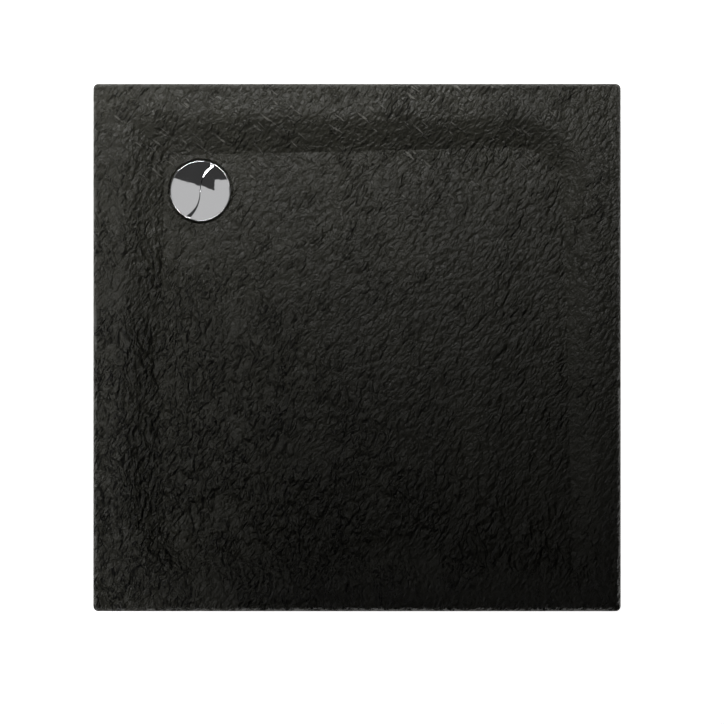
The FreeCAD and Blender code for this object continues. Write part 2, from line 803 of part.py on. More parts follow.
def add_copies(label, original, spots, upside_down=False):
    """One node that holds a copy of the original at each spot."""
    links = []
    for number, spot in enumerate(spots, start=1):
        link = document.addObject("App::Link", f"{label}_{number}")
        link.LinkedObject = original
        link.LinkTransform = False
        if upside_down:
            link.Placement = Placement(Vector(), Rotation(Vector(1, 0, 0), 180))
        for axis, place in zip("xyz", spot):
            link.setExpression(f"Placement.Base.{axis}", place)
        links.append(link)
    group = document.addObject("Part::Compound", label)
    group.Label = label
    group.Links = links
    document.recompute()
    sub_parts.append(group)


def add_cup():
    """Dip tube: a rim on the flange's ledge, a tube into the trap's water and a grid at its end."""
    body = add_waste_body("waste_cup")
    seat, rim = "-dims.ledge_drop", "(-dims.ledge_drop + dims.cup_rim_wall)"
    bore = "(dims.cup_radius - dims.cup_wall)"
    end = "-dims.dip_depth"
    groove = "(-places.collar_top - dims.collar_height / 2)"
    groove_floor = "dims.cup_radius - dims.ring_groove"
    low, high = f"{groove} - dims.ring_section", f"{groove} + dims.ring_section"
    rim_radius, bevel = "(places.neck_bore - dims.cup_rim_gap)", "dims.cup_rim_wall / 2"
    profile = [
        (bore, end),
        ("dims.cup_radius", end),
        ("dims.cup_radius", low),
        (groove_floor, low),
        (groove_floor, high),
        ("dims.cup_radius", high),
        ("dims.cup_radius", seat),
        (rim_radius, seat),
        (rim_radius, f"{rim} - {bevel}"),
        (f"{rim_radius} - {bevel}", rim),
        (f"{bore} + {bevel}", rim),
        (bore, f"{rim} - {bevel}"),
    ]
    turn(body, "cup_wall", profile)
    half, reach = "dims.grid_bar / 2", "(dims.cup_radius - dims.cup_wall / 2)"
    for name, x, y in (("bar_x", reach, half), ("bar_y", half, reach)):
        bar = add_sketch(body, name + "_outline", offset=end)
        draw_rectangle(bar, f"-{x}", f"-{y}", x, y)
        extrude(body, name, bar, "dims.grid_bar")
    ring = add_waste_body("cup_ring")
    outer, lip = "(dims.collar_radius - dims.seat_gap)", "dims.ring_section / 2"
    section = [
        (groove_floor, low),
        (f"{outer} - {lip}", low),
        (outer, f"{low} + {lip}"),
        (outer, f"{high} - {lip}"),
        (f"{outer} - {lip}", high),
        (groove_floor, high),
    ]
    turn(ring, "ring_section", section)


def add_cover():
    """Cover: a shallow dome with a raised bead at its edge, on legs that stand on the dip tube."""
    body = add_waste_body("cover_blank", listed=False)
    sketch = add_sketch(body, "dome_profile", "XZ_Plane")
    draw_dome(sketch)
    dome = body.newObject("PartDesign::Revolution", "dome")
    dome.Profile = sketch
    dome.ReferenceAxis = (sketch, ["V_Axis"])
    dome.Angle = 360
    document.recompute()
    leg_outline = add_sketch(body, "leg_outline", offset="-dims.ledge_drop + dims.cup_rim_wall")
    inner = "(dims.cover_leg_circle - dims.cover_leg_wall / 2)"
    outer = "(dims.cover_leg_circle + dims.cover_leg_wall / 2)"
    half = "dims.cover_leg_width / 2"
    draw_rectangle(leg_outline, inner, f"-{half}", outer, half)
    leg = extrude(body, "leg", leg_outline, "dims.cover_edge")
    leg.Type = "UpToFirst"
    document.recompute()
    repeat_round(body, "legs", leg, leg_outline, COVER_LEGS)
    cut_shape("waste_cover", body, add_crease())


def draw_dome(sketch):
    """Half section of the cover: two arcs for the dome, joined by the bead and the turned-down edge."""
    base, edge = "places.cover_base", "(places.cover_base + dims.cover_edge)"
    radius, bead_in = "dims.cover_radius", "(dims.cover_radius - dims.cover_bead)"
    bead_top = f"{edge} + dims.cover_bead_height"
    corners = [
        (bead_in, f"{edge} - dims.cover_wall"),
        (bead_in, base),
        (radius, base),
        (radius, bead_top),
        (bead_in, bead_top),
        (bead_in, edge),
    ]
    points = [Vector(value(x), value(y), 0) for x, y in corners]
    lines = [
        sketch.addGeometry(Part.LineSegment(start, end), False)
        for start, end in zip(points, points[1:])
    ]
    for line, (x, y) in zip(lines, corners):
        pin_point(sketch, line, START, x, y)
    pin_point(sketch, lines[-1], END, *corners[-1])
    for before, after in zip(lines, lines[1:]):
        sketch.addConstraint(Sketcher.Constraint("Coincident", before, END, after, START))
    crowns = ["places.cover_crown", "places.cover_crown - dims.cover_wall"]
    size = value("places.dome_radius")
    arcs = []
    for crown, reach in zip(crowns, (points[-1], points[0])):
        centre = Vector(0, value(crown) - size, 0)
        start_angle = math.atan2(reach.y - centre.y, reach.x)
        circle = Part.Circle(centre, Vector(0, 0, 1), size)
        arc = sketch.addGeometry(Part.ArcOfCircle(circle, start_angle, math.pi / 2), False)
        sketch.addConstraint(Sketcher.Constraint("PointOnObject", arc, CENTRE, VERTICAL_AXIS))
        pin_point(sketch, arc, END, "0", crown)
        arcs.append(arc)
    sketch.addConstraint(Sketcher.Constraint("Coincident", arcs[0], START, lines[-1], END))
    sketch.addConstraint(Sketcher.Constraint("Coincident", arcs[1], START, lines[0], START))
    tops = [Vector(0, value(crown), 0) for crown in crowns]
    axis = sketch.addGeometry(Part.LineSegment(*tops), False)
    sketch.addConstraint(Sketcher.Constraint("Coincident", axis, START, arcs[0], END))
    sketch.addConstraint(Sketcher.Constraint("Coincident", axis, END, arcs[1], END))


def add_crease():
    """Tool for the S-shaped crease: an upright band less the ball that the crease's floor lies on."""
    band = add_waste_body("crease_band", listed=False)
    outline = add_sketch(band, "crease_outline", offset="places.cover_base")
    half, lean = "dims.crease_width / 2", "dims.crease_turn / 2"
    across = {1: half, -1: f"(-{half})"}
    arm_x, arm_y = (f"places.crease_arm * {way}(dims.crease_turn)" for way in ("sin", "cos"))
    corners = []
    for side, offset in across.items():
        tip_low = f"-places.crease_tip - {offset} * tan({lean})"
        tip_high = f"places.crease_tip - {offset} * tan({lean})"
        over_x, over_y = f"{offset} * cos(dims.crease_turn)", f"{offset} * sin(dims.crease_turn)"
        run = [
            (f"{over_x} - {arm_x}", f"-places.crease_tip - {arm_y} - {over_y}"),
            (offset, tip_low, f"dims.crease_radius + {offset}"),
            (offset, tip_high, f"dims.crease_radius - {offset}"),
            (f"{arm_x} + {over_x}", f"places.crease_tip + {arm_y} - {over_y}"),
        ]
        corners += run[::side]
    draw_outline(outline, corners)
    extrude(band, "crease_walls", outline, "dims.cover_edge + dims.cover_dome")
    ball = document.addObject("Part::Sphere", "crease_floor")
    ball.setExpression("Radius", "places.dome_radius - dims.crease_drop")
    ball.setExpression("Placement.Base.x", "places.drain_x")
    ball.setExpression("Placement.Base.y", "places.drain_y")
    height = "places.recess_height + places.cover_crown - places.dome_radius"
    ball.setExpression("Placement.Base.z", height)
    return cut_shape("crease", band, ball, listed=False)


# ---------------------------------------------------------------- levelling feet


def seat_height(x, y):
    """Height of the board's underside over a point of the floor."""
    return f"places.floor_height + dims.floor_fall * (({x}) - ({y})) - places.board_drop"


def add_socket(side, x, y):
    """Socket screwed under the board: a plate cut to the floor's fall, ribs and a threaded boss."""
    body = add_body(f"foot_socket_{side}", x, y, seat_height(x, y))
    plate_end, boss_end = "(-dims.seat_wall)", "(-dims.boss_height)"
    grip_end = "(dims.boss_grip - dims.boss_height)"
    bore = "dims.rod_radius + dims.rod_gap"
    profile = [
        (bore, boss_end),
        ("dims.boss_end_radius", boss_end),
        ("dims.boss_top_radius", plate_end),
        ("dims.seat_radius", plate_end),
        ("dims.seat_radius", "dims.seat_wall / 2"),
        ("dims.boss_relief", "dims.seat_wall / 2"),
        ("dims.boss_relief", grip_end),
        (bore, grip_end),
    ]
    turn(body, "socket_wall", profile)
    rib_outline = add_sketch(body, "rib_outline", "XZ_Plane")
    inner, rib_end = "dims.boss_end_radius - dims.boss_rib / 2", f"{boss_end} + dims.boss_rib"
    rib_corners = [
        (inner, rib_end),
        ("dims.boss_end_radius", rib_end),
        ("dims.rib_reach", plate_end),
        (inner, plate_end),
    ]
    draw_outline(rib_outline, rib_corners)
    rib = extrude(body, "rib", rib_outline, "dims.boss_rib", both=True)
    plate_outline = add_sketch(body, "screw_outlines", offset="dims.seat_wall / 2")
    repeat_round(body, "ribs", rib, plate_outline, RIBS)
    for screw_x, screw_y in foot_screw_places("0", "0"):
        draw_circle(plate_outline, FOOT_HOLE, screw_x, screw_y)
    holes = extrude(body, "screw_holes", plate_outline, "dims.seat_wall * 2", cut=True)
    sink = "dims.foot_screw_head - dims.foot_screw"
    sink_holes(body, "screw_seats", holes, FOOT_HOLE, sink, plate_end)
    seat_outline = add_sketch(body, "seat_outline", tilted=True)
    draw_circle(seat_outline, "dims.seat_radius * 2")
    extrude(body, "seat", seat_outline, "dims.seat_wall", cut=True, reverse=True)


def add_rod(side, x, y):
    """Threaded rod with a spanner collar just above the pad."""
    body = add_body(f"foot_rod_{side}", x, y, "dims.pad_wall")
    bevel = "dims.rod_radius - dims.rod_chamfer"
    profile = [
        ("0", "0"),
        (bevel, "0"),
        ("dims.rod_radius", "dims.rod_chamfer"),
        ("dims.rod_radius", "places.rod_length - dims.rod_chamfer"),
        (bevel, "places.rod_length"),
        ("0", "places.rod_length"),
    ]
    turn(body, "rod", profile)
    collar_height = "dims.pad_height - dims.pad_wall + dims.rod_flat_gap"
    collar = add_sketch(body, "collar_outline", offset=collar_height)
    draw_hexagon(collar, "dims.rod_flat")
    extrude(body, "collar", collar, "dims.rod_flat_height")


def add_nut(side, x, y):
    """Lock nut tightened against the socket's boss."""
    body = add_body(f"foot_nut_{side}", x, y, f"{seat_height(x, y)} - dims.boss_height")
    outline = add_sketch(body, "nut_outline")
    draw_hexagon(outline, "dims.nut_flat")
    extrude(body, "nut", outline, "dims.nut_height", reverse=True)
    bore_outline = add_sketch(body, "nut_bore_outline")
    draw_circle(bore_outline, "dims.rod_radius + dims.rod_gap")
    extrude(body, "nut_bore", bore_outline, "dims.nut_height", cut=True)
    tip, flat = "(dims.nut_flat / sqrt(3) + dims.nut_tip_margin)", "(dims.nut_flat / 2)"
    drop = f"({tip} - {flat}) * tan(dims.nut_bevel_angle)"
    bottom = "(-dims.nut_height)"
    bevels = [("top_bevel", "0", f"-{drop}"), ("end_bevel", bottom, f"{bottom} + {drop}")]
    for name, level, inwards in bevels:
        turn(body, name, [(flat, level), (tip, inwards), (tip, level)], cut=True)


def add_pad(side, x, y):
    """Round foot with a ribbed boss that the rod turns in."""
    body = add_body(f"foot_pad_{side}", x, y)
    bore = "dims.rod_radius + dims.rod_gap"
    profile = [
        ("0", "0"),
        ("dims.pad_radius", "0"),
        ("dims.pad_radius", "dims.pad_wall - dims.pad_edge"),
        ("dims.pad_radius - dims.pad_edge", "dims.pad_wall"),
        ("dims.pad_boss_radius", "dims.pad_wall"),
        ("dims.pad_boss_radius", "dims.pad_height - dims.pad_edge"),
        ("dims.pad_boss_radius - dims.pad_edge", "dims.pad_height"),
        (bore, "dims.pad_height"),
        (bore, "dims.pad_wall"),
        ("0", "dims.pad_wall"),
    ]
    turn(body, "pad_wall", profile)
    rib_outline = add_sketch(body, "pad_rib_outline", "XZ_Plane")
    inner, outer = "dims.pad_boss_radius - dims.pad_edge", "dims.pad_radius - dims.pad_edge"
    low, high = "dims.pad_wall - dims.pad_edge", "dims.pad_height - dims.pad_wall"
    rib_corners = [
        (inner, low),
        (outer, low),
        (outer, "dims.pad_wall"),
        ("dims.pad_boss_radius", high),
        (inner, high),
    ]
    draw_outline(rib_outline, rib_corners)
    rib = extrude(body, "pad_rib", rib_outline, "dims.pad_rib", both=True)
    floor_outline = add_sketch(body, "pad_axis")
    repeat_round(body, "pad_ribs", rib, floor_outline, RIBS)


def add_feet():
    """Six feet on their board, and the screws that hold their sockets."""
    screw_length = "dims.seat_wall + dims.foot_screw_bite"
    screw = add_screw("foot_screw", "dims.foot_screw", "dims.foot_screw_head", screw_length)
    spots = []
    for side, (x, y) in FEET.items():
        add_socket(side, x, y)
        add_rod(side, x, y)
        add_nut(side, x, y)
        add_pad(side, x, y)
        head_height = f"{seat_height(x, y)} - dims.seat_wall"
        spots += [(screw_x, screw_y, head_height) for screw_x, screw_y in foot_screw_places(x, y)]
    add_copies("foot_screws", screw, spots, upside_down=True)


# ---------------------------------------------------------------- assembly


def write_parts():
    """Checks every object of the document, then writes each sub-part to its own file."""
    for item in document.Objects:
        if "Invalid" in item.State or "Error" in item.State:
            raise RuntimeError(f"{item.Label} failed: {item.State}")
    for part in sub_parts:
        if part.Shape.isNull() or not part.Shape.isValid() or not part.Shape.Solids:
            raise RuntimeError(f"{part.Label} has no valid solid")
    os.makedirs("parts", exist_ok=True)
    for part in sub_parts:
        part.Shape.exportStep(f"parts/{part.Label}.step")
        print(f"{part.Label}: {len(part.Shape.Solids)} solids, {part.Shape.Volume / 1000:.1f} cm3")


add_layers()
add_board()
add_seals()
add_flange()
add_trap()
add_outlet_joint()
add_clamp_screws()
add_cup()
add_cover()
add_feet()
write_parts()
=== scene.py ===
"""Square shower tray with a slate-effect shell, a domed chrome waste cover and levelling feet."""

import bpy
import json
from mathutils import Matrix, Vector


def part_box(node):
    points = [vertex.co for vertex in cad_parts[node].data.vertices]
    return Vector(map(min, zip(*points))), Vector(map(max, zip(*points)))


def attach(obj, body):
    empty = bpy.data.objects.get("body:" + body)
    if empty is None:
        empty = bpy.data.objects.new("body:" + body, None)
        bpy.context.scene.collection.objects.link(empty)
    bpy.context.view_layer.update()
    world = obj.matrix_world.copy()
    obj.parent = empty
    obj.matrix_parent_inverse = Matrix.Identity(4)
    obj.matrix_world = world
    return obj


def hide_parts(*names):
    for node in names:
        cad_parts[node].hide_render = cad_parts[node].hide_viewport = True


bl_info = {
    "name": "Slate Shower Tray",
    "version": (1, 0, 0),
    "blender": (4, 5, 0),
    "location": "View3D > Sidebar > Shower Tray",
    "description": "Builds the finished surfaces of a square shower tray round its CAD frame",
    "category": "Object",
}

import json
import math

import bpy
import numpy as np

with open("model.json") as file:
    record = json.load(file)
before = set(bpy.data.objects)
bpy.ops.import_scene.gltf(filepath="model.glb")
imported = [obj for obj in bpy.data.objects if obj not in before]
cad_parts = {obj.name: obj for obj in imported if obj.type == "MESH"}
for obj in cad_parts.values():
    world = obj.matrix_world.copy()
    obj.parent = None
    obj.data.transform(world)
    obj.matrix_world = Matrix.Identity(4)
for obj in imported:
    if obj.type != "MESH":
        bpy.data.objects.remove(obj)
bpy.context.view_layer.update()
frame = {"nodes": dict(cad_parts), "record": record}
MM = 0.001
FEET = ("left", "back", "back_right", "front_left", "front_right", "centre")


# --- mesh helpers


def add_object(name, data):
    """An object with the data, put into the scene."""
    made = bpy.data.objects.new(name, data)
    bpy.context.scene.collection.objects.link(made)
    return made


def add_piece(name, points, faces, finish, body, replaces, crease=None):
    """A mesh piece from points in millimetres, riding on a body and standing for CAD nodes."""
    mesh = bpy.data.meshes.new(name)
    corners = np.concatenate([np.asarray(group, int).ravel() for group in faces])
    sizes = np.concatenate([np.full(len(group), np.shape(group)[1]) for group in faces])
    starts = np.concatenate([[0], np.cumsum(sizes)[:-1]])
    mesh.vertices.add(len(points))
    mesh.vertices.foreach_set("co", (np.asarray(points, float) * MM).ravel())
    mesh.loops.add(len(corners))
    mesh.loops.foreach_set("vertex_index", corners)
    mesh.polygons.add(len(sizes))
    mesh.polygons.foreach_set("loop_start", starts)
    mesh.polygons.foreach_set("use_smooth", np.ones(len(sizes), bool))
    mesh.update(calc_edges=True)
    mesh.validate()
    if crease:
        mesh.set_sharp_from_angle(angle=math.radians(crease))
    mesh.materials.append(finish)
    piece = add_object(name, mesh)
    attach(piece, body)
    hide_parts(*replaces)


def strip(first, second):
    """Quads between two closed loops of point numbers, turned to the left of the first loop."""
    return np.stack([first, np.roll(first, -1), np.roll(second, -1), second], axis=1)


def full_turn(count):
    """Angles once round, evenly spaced, without the last one that would meet the first."""
    return np.linspace(0, 2 * math.pi, count, endpoint=False)


def lathe(radius, height, count):
    """Points and quads of a closed surface of revolution about Z: x = r cos a, y = r sin a.

    Radius and height go once round a closed outline, counter-clockwise in the radius-height
    plane, so that faces point outwards.
    """
    angle = full_turn(count)
    x, y = np.outer(radius, np.cos(angle)), np.outer(radius, np.sin(angle))
    points = np.stack([x, y, np.outer(height, np.ones(count))], axis=-1)
    rings = np.arange(x.size).reshape(x.shape)
    faces = np.concatenate([strip(low, high) for low, high in zip(rings, np.roll(rings, -1, axis=0))])
    return points.reshape(-1, 3), faces


def stack_rings(rings, ends=None):
    """Points, side quads and end fans of a closed solid, from its rings of points, lowest first.

    Each end is a fan from a point of its own, the middle of the end ring if none is given.
    """
    rows, count, _ = rings.shape
    if ends is None:
        ends = [rings[0].mean(0), rings[-1].mean(0)]
    number = np.arange(rows * count).reshape(rows, count)
    quads = np.concatenate([strip(low, high) for low, high in zip(number, number[1:])])
    low_end, high_end = np.full(count, rows * count), np.full(count, rows * count + 1)
    fans = np.concatenate([
        np.stack([low_end, np.roll(number[0], -1), number[0]], axis=1),
        np.stack([high_end, number[-1], np.roll(number[-1], -1)], axis=1),
    ])
    return np.concatenate([rings.reshape(-1, 3), ends]), quads, fans


def upright_rings(radius, angle, height):
    """Rings about Z whose radius is given for each height (rows) and angle (columns)."""
    return np.stack([radius * np.cos(angle), radius * np.sin(angle), height + 0 * radius], axis=-1)


def place_copies(surface, spots, flip=False):
    """Copies of one surface at spots in millimetres, turned about X by half a turn if flipped."""
    points, quads, fans = surface
    if flip:
        points = points * np.array([1, -1, -1])
    starts = len(points) * np.arange(len(spots))[:, None, None]
    placed = points + np.array(spots)[:, None]
    return placed.reshape(-1, 3), [(quads + starts).reshape(-1, 4), (fans + starts).reshape(-1, 3)]


# --- noise worked out with numpy


# Odd numbers that scatter the bits of a grid corner's column, row and seed, and of their sum.
HASH_COLUMN, HASH_ROW, HASH_SEED, HASH_MIX = 374761393, 668265263, 974634777, 1274126177
HASH_MASK = 0xFFFFFFFF


def gradient_noise(x, y, seed):
    """Smooth noise of about -1 to 1: each grid corner has a slope in a hashed direction, and the
    four slopes are blended with the quintic 6t^5 - 15t^4 + 10t^3."""
    column, row = np.floor(x).astype(np.int64), np.floor(y).astype(np.int64)
    u, v = x - column, y - row
    total = np.zeros_like(u)
    for step_x in (0, 1):
        for step_y in (0, 1):
            key = (column + step_x) * HASH_COLUMN + (row + step_y) * HASH_ROW + seed * HASH_SEED
            key = ((key ^ (key >> 13)) * HASH_MIX) & HASH_MASK
            angle = (key ^ (key >> 16)) * (2 * math.pi / HASH_MASK)
            slope = (u - step_x) * np.cos(angle) + (v - step_y) * np.sin(angle)
            near_x = 1 - np.abs(u - step_x)
            near_y = 1 - np.abs(v - step_y)
            weight_x = near_x**3 * (near_x * (6 * near_x - 15) + 10)
            weight_y = near_y**3 * (near_y * (6 * near_y - 15) + 10)
            total += slope * weight_x * weight_y
    return total * 1.5


def smooth_step(low, high, value):
    """0 below low, 1 above high, and 3t^2 - 2t^3 between."""
    t = np.clip((value - low) / (high - low), 0, 1)
    return t * t * (3 - 2 * t)


# --- slate shell

# The tray's plan in millimetres, as the CAD has it.
RIM_TOP = 170.0
SKIRT_END = 110.0
HALF = 500.0
CORNER_CENTRE = 490.0
RIM_ROUND = 8.0
DECK_EDGES = (-436.5, 445.0, -445.0, 436.5)
DECK_CORNERS = ((-1, -1, 140.0), (1, -1, 46.0), (1, 1, 140.0))
WALL_RUN = 1.7
DECK_ROUND = 60.0
SHELL_WALL = 4.0
DRAIN = (-300.0, 300.0)
RECESS_RADIUS = 62.0
RECESS_FLOOR = 126.0
RECESS_LIP = 2.0
HOLE_RADIUS = 45.0
SKIRT_ROUND = 0.8
# Corners of the floor, from the drain's corner round by the front: left back, left front, ...
FLOOR_CORNERS = {
    (0, 1): (-369.06, 369.06),
    (0, 0): (-384.83, -393.33),
    (1, 0): (410.68, -410.68),
    (1, 1): (393.33, 384.83),
}
CELLS = 287
WINDOW = 41
DECK_CELLS, WALL_CELLS = 17, 17
CORNER_CELLS = 3
# Where the underside's rings run, inside the deck's edge.
UNDER_INSETS = (-22.0, 0.0, 20.0)
# How near a point has to be to the floor's edge to be moved onto it.
EDGE_REACH = 1.75
# Distances over which the relief fades in: from the tray's side, and past the recess.
RIM_FADE = (8, 18)
RECESS_FADE = (RECESS_RADIUS + 2, RECESS_RADIUS + 8)
WARP_SIZE, WARP_REACH = 45, 9
BROAD_SIZE, FINER_SIZE = 120, 50
MEAN_DEPTH, BROAD_DEPTH, WRINKLE_DEPTH = 0.75, 0.26, 0.5
# Wrinkles: lean in degrees, width and length in millimetres, seed, share at the front and back.
WRINKLES = (
    (8.0, 10.0, 46.0, 11, 1.0, 0.0),
    (-32.0, 10.0, 48.0, 21, 0.0, 1.0),
    (12.0, 17.0, 90.0, 31, 0.7, 0.7),
    (-48.0, 15.0, 60.0, 41, 0.4, 0.4),
)


def floor_height(x, y):
    """The floor's plane: 139.5 at the middle, falling 12.5 mm a metre to the left and the back."""
    return 139.5 + 0.0125 * (x - y)


def deck_distance(x, y):
    """How far inside the deck's edge a point is: the nearest side, or the corner's arc."""
    left, right, front, back = DECK_EDGES
    sides = [x - left, right - x, y - front, back - y]
    distance = np.minimum.reduce(sides)
    for sign_x, sign_y, radius in DECK_CORNERS:
        centre_x = (right - radius) if sign_x > 0 else (left + radius)
        centre_y = (back - radius) if sign_y > 0 else (front + radius)
        in_corner = (sign_x * (x - centre_x) > 0) & (sign_y * (y - centre_y) > 0)
        arc = radius - np.hypot(x - centre_x, y - centre_y)
        distance = np.where(in_corner, arc, distance)
    return distance


def wall_height(distance):
    """Height of deck, rounded edge and sloping wall against the distance inside the deck's edge."""
    slope = math.atan(1 / WALL_RUN)
    reach = DECK_ROUND * math.tan(slope / 2)
    arc = RIM_TOP - DECK_ROUND + np.sqrt(np.maximum(DECK_ROUND**2 - (distance + reach) ** 2, 0))
    wall = RIM_TOP - distance / WALL_RUN
    return np.where(distance < -reach, RIM_TOP, np.where(distance < reach * math.cos(slope), arc, wall))


def slate_relief(x, y):
    """Depth of the cleft-slate relief under the moulded surface, in millimetres, 0 or more.

    Broad waves, plus short wrinkles: a noise stretched along the wrinkles, kept where it is
    high. The wrinkles stand upright in the front half and lean to the right in the back half,
    and are twice as deep at the front left as at the back right.
    """
    warp_x = x + WARP_REACH * gradient_noise(x / WARP_SIZE, y / WARP_SIZE, 3)
    warp_y = y + WARP_REACH * gradient_noise(x / WARP_SIZE, y / WARP_SIZE, 4)
    broad = gradient_noise(x / BROAD_SIZE, y / BROAD_SIZE, 1)
    broad = broad + 0.5 * gradient_noise(x / FINER_SIZE, y / FINER_SIZE, 2)
    wrinkles = np.zeros_like(x)
    back = smooth_step(-150, 150, y)
    for lean, across, along, seed, at_front, at_back in WRINKLES:
        turn = math.radians(lean)
        u = (warp_x * math.cos(turn) + warp_y * math.sin(turn)) / across
        v = (warp_y * math.cos(turn) - warp_x * math.sin(turn)) / along
        stroke = smooth_step(0.0, 0.75, gradient_noise(u, v, seed))
        share = at_front + (at_back - at_front) * back
        wrinkles += share * stroke * (0.55 + 0.45 * gradient_noise(u / 3, v / 2, seed + 1))
    strength = 0.5 + 0.5 * smooth_step(-200, 500, -y - 0.6 * x)
    return MEAN_DEPTH - BROAD_DEPTH * np.clip(broad, -1.3, 1.3) - WRINKLE_DEPTH * strength * (wrinkles - 0.4)


def side_positions(low, floor_low, floor_high, high):
    """Line positions across the tray: rim, corner arc, deck, wall, floor, wall, deck, arc, rim."""
    arc = [2 * math.sin(math.radians(15 * k)) for k in (3, 2, 1)]
    deck_low = np.linspace(-CORNER_CENTRE, low, DECK_CELLS - CORNER_CELLS + 1)
    deck_high = np.linspace(high, CORNER_CENTRE, DECK_CELLS - CORNER_CELLS + 1)
    floor_cells = CELLS - 2 * (DECK_CELLS + WALL_CELLS)
    pieces = [
        -CORNER_CENTRE - np.array([2.0] + arc[1:]),
        deck_low,
        np.linspace(low, floor_low, WALL_CELLS + 1)[1:],
        np.linspace(floor_low, floor_high, floor_cells + 1)[1:],
        np.linspace(floor_high, high, WALL_CELLS + 1)[1:],
        deck_high[1:],
        CORNER_CENTRE + np.array(arc[:0:-1] + [2.0]),
    ]
    return np.concatenate(pieces)


def slate_grid():
    """Plan of the shell's top: a square grid bent so that its lines run along the floor's edges.

    Each line keeps its place on the rim and deck. Inside, a point is the bilinear mean of the
    four floor corners' lines, so the walls' straight edges lie on grid lines.
    """
    left, right, front, back = DECK_EDGES
    share = np.arange(CELLS + 1)
    floor_start = DECK_CELLS + WALL_CELLS
    floor_cells = CELLS - 2 * floor_start
    along = np.clip((share - floor_start) / floor_cells, 0, 1)
    corner = {key: np.array(place) for key, place in FLOOR_CORNERS.items()}
    columns_x = [
        side_positions(left, corner[0, end][0], corner[1, end][0], right) for end in (0, 1)
    ]
    rows_y = [side_positions(front, corner[end, 0][1], corner[end, 1][1], back) for end in (0, 1)]
    x = columns_x[0][:, None] + (columns_x[1] - columns_x[0])[:, None] * along[None, :]
    y = rows_y[0][None, :] + (rows_y[1] - rows_y[0])[None, :] * along[:, None]
    return x, y


def above_floor(x, y):
    """How far the wall's height is above the floor's plane: 0 along the floor's edge."""
    return wall_height(deck_distance(x, y)) - floor_height(x, y)


def settle(x, y, gap_at, reach, rounds=1):
    """Moves the points that lie within a reach of the line where a function is 0 onto it, along
    the function's slope."""
    step = 0.5
    for _ in range(rounds):
        gap = gap_at(x, y)
        slope_x = (gap_at(x + step, y) - gap_at(x - step, y)) / (2 * step)
        slope_y = (gap_at(x, y + step) - gap_at(x, y - step)) / (2 * step)
        size = np.maximum(slope_x**2 + slope_y**2, 1e-6)
        near = np.abs(gap) / np.sqrt(size) < reach
        move = np.where(near, -gap / size, 0.0)
        x, y = x + move * slope_x, y + move * slope_y
    return x, y


class Skin:
    """Points and quads gathered ring by ring, each ring joined to the one before."""

    def __init__(self, points, first):
        self.points, self.quads = [points], []
        self.total, self.last = len(points), first

    def add(self, plan, heights, turned=False):
        ring = np.arange(self.total, self.total + len(plan))
        self.points.append(np.column_stack([plan, np.broadcast_to(heights, len(plan))]))
        self.total += len(plan)
        quads = strip(self.last, ring)
        self.quads.append(quads[:, ::-1] if turned else quads)
        self.last = ring


def border(block):
    """Point numbers along the edge of a block of the grid, counter-clockwise."""
    return np.concatenate([block[:-1, 0], block[-1, :-1], block[:0:-1, -1], block[0, :0:-1]])


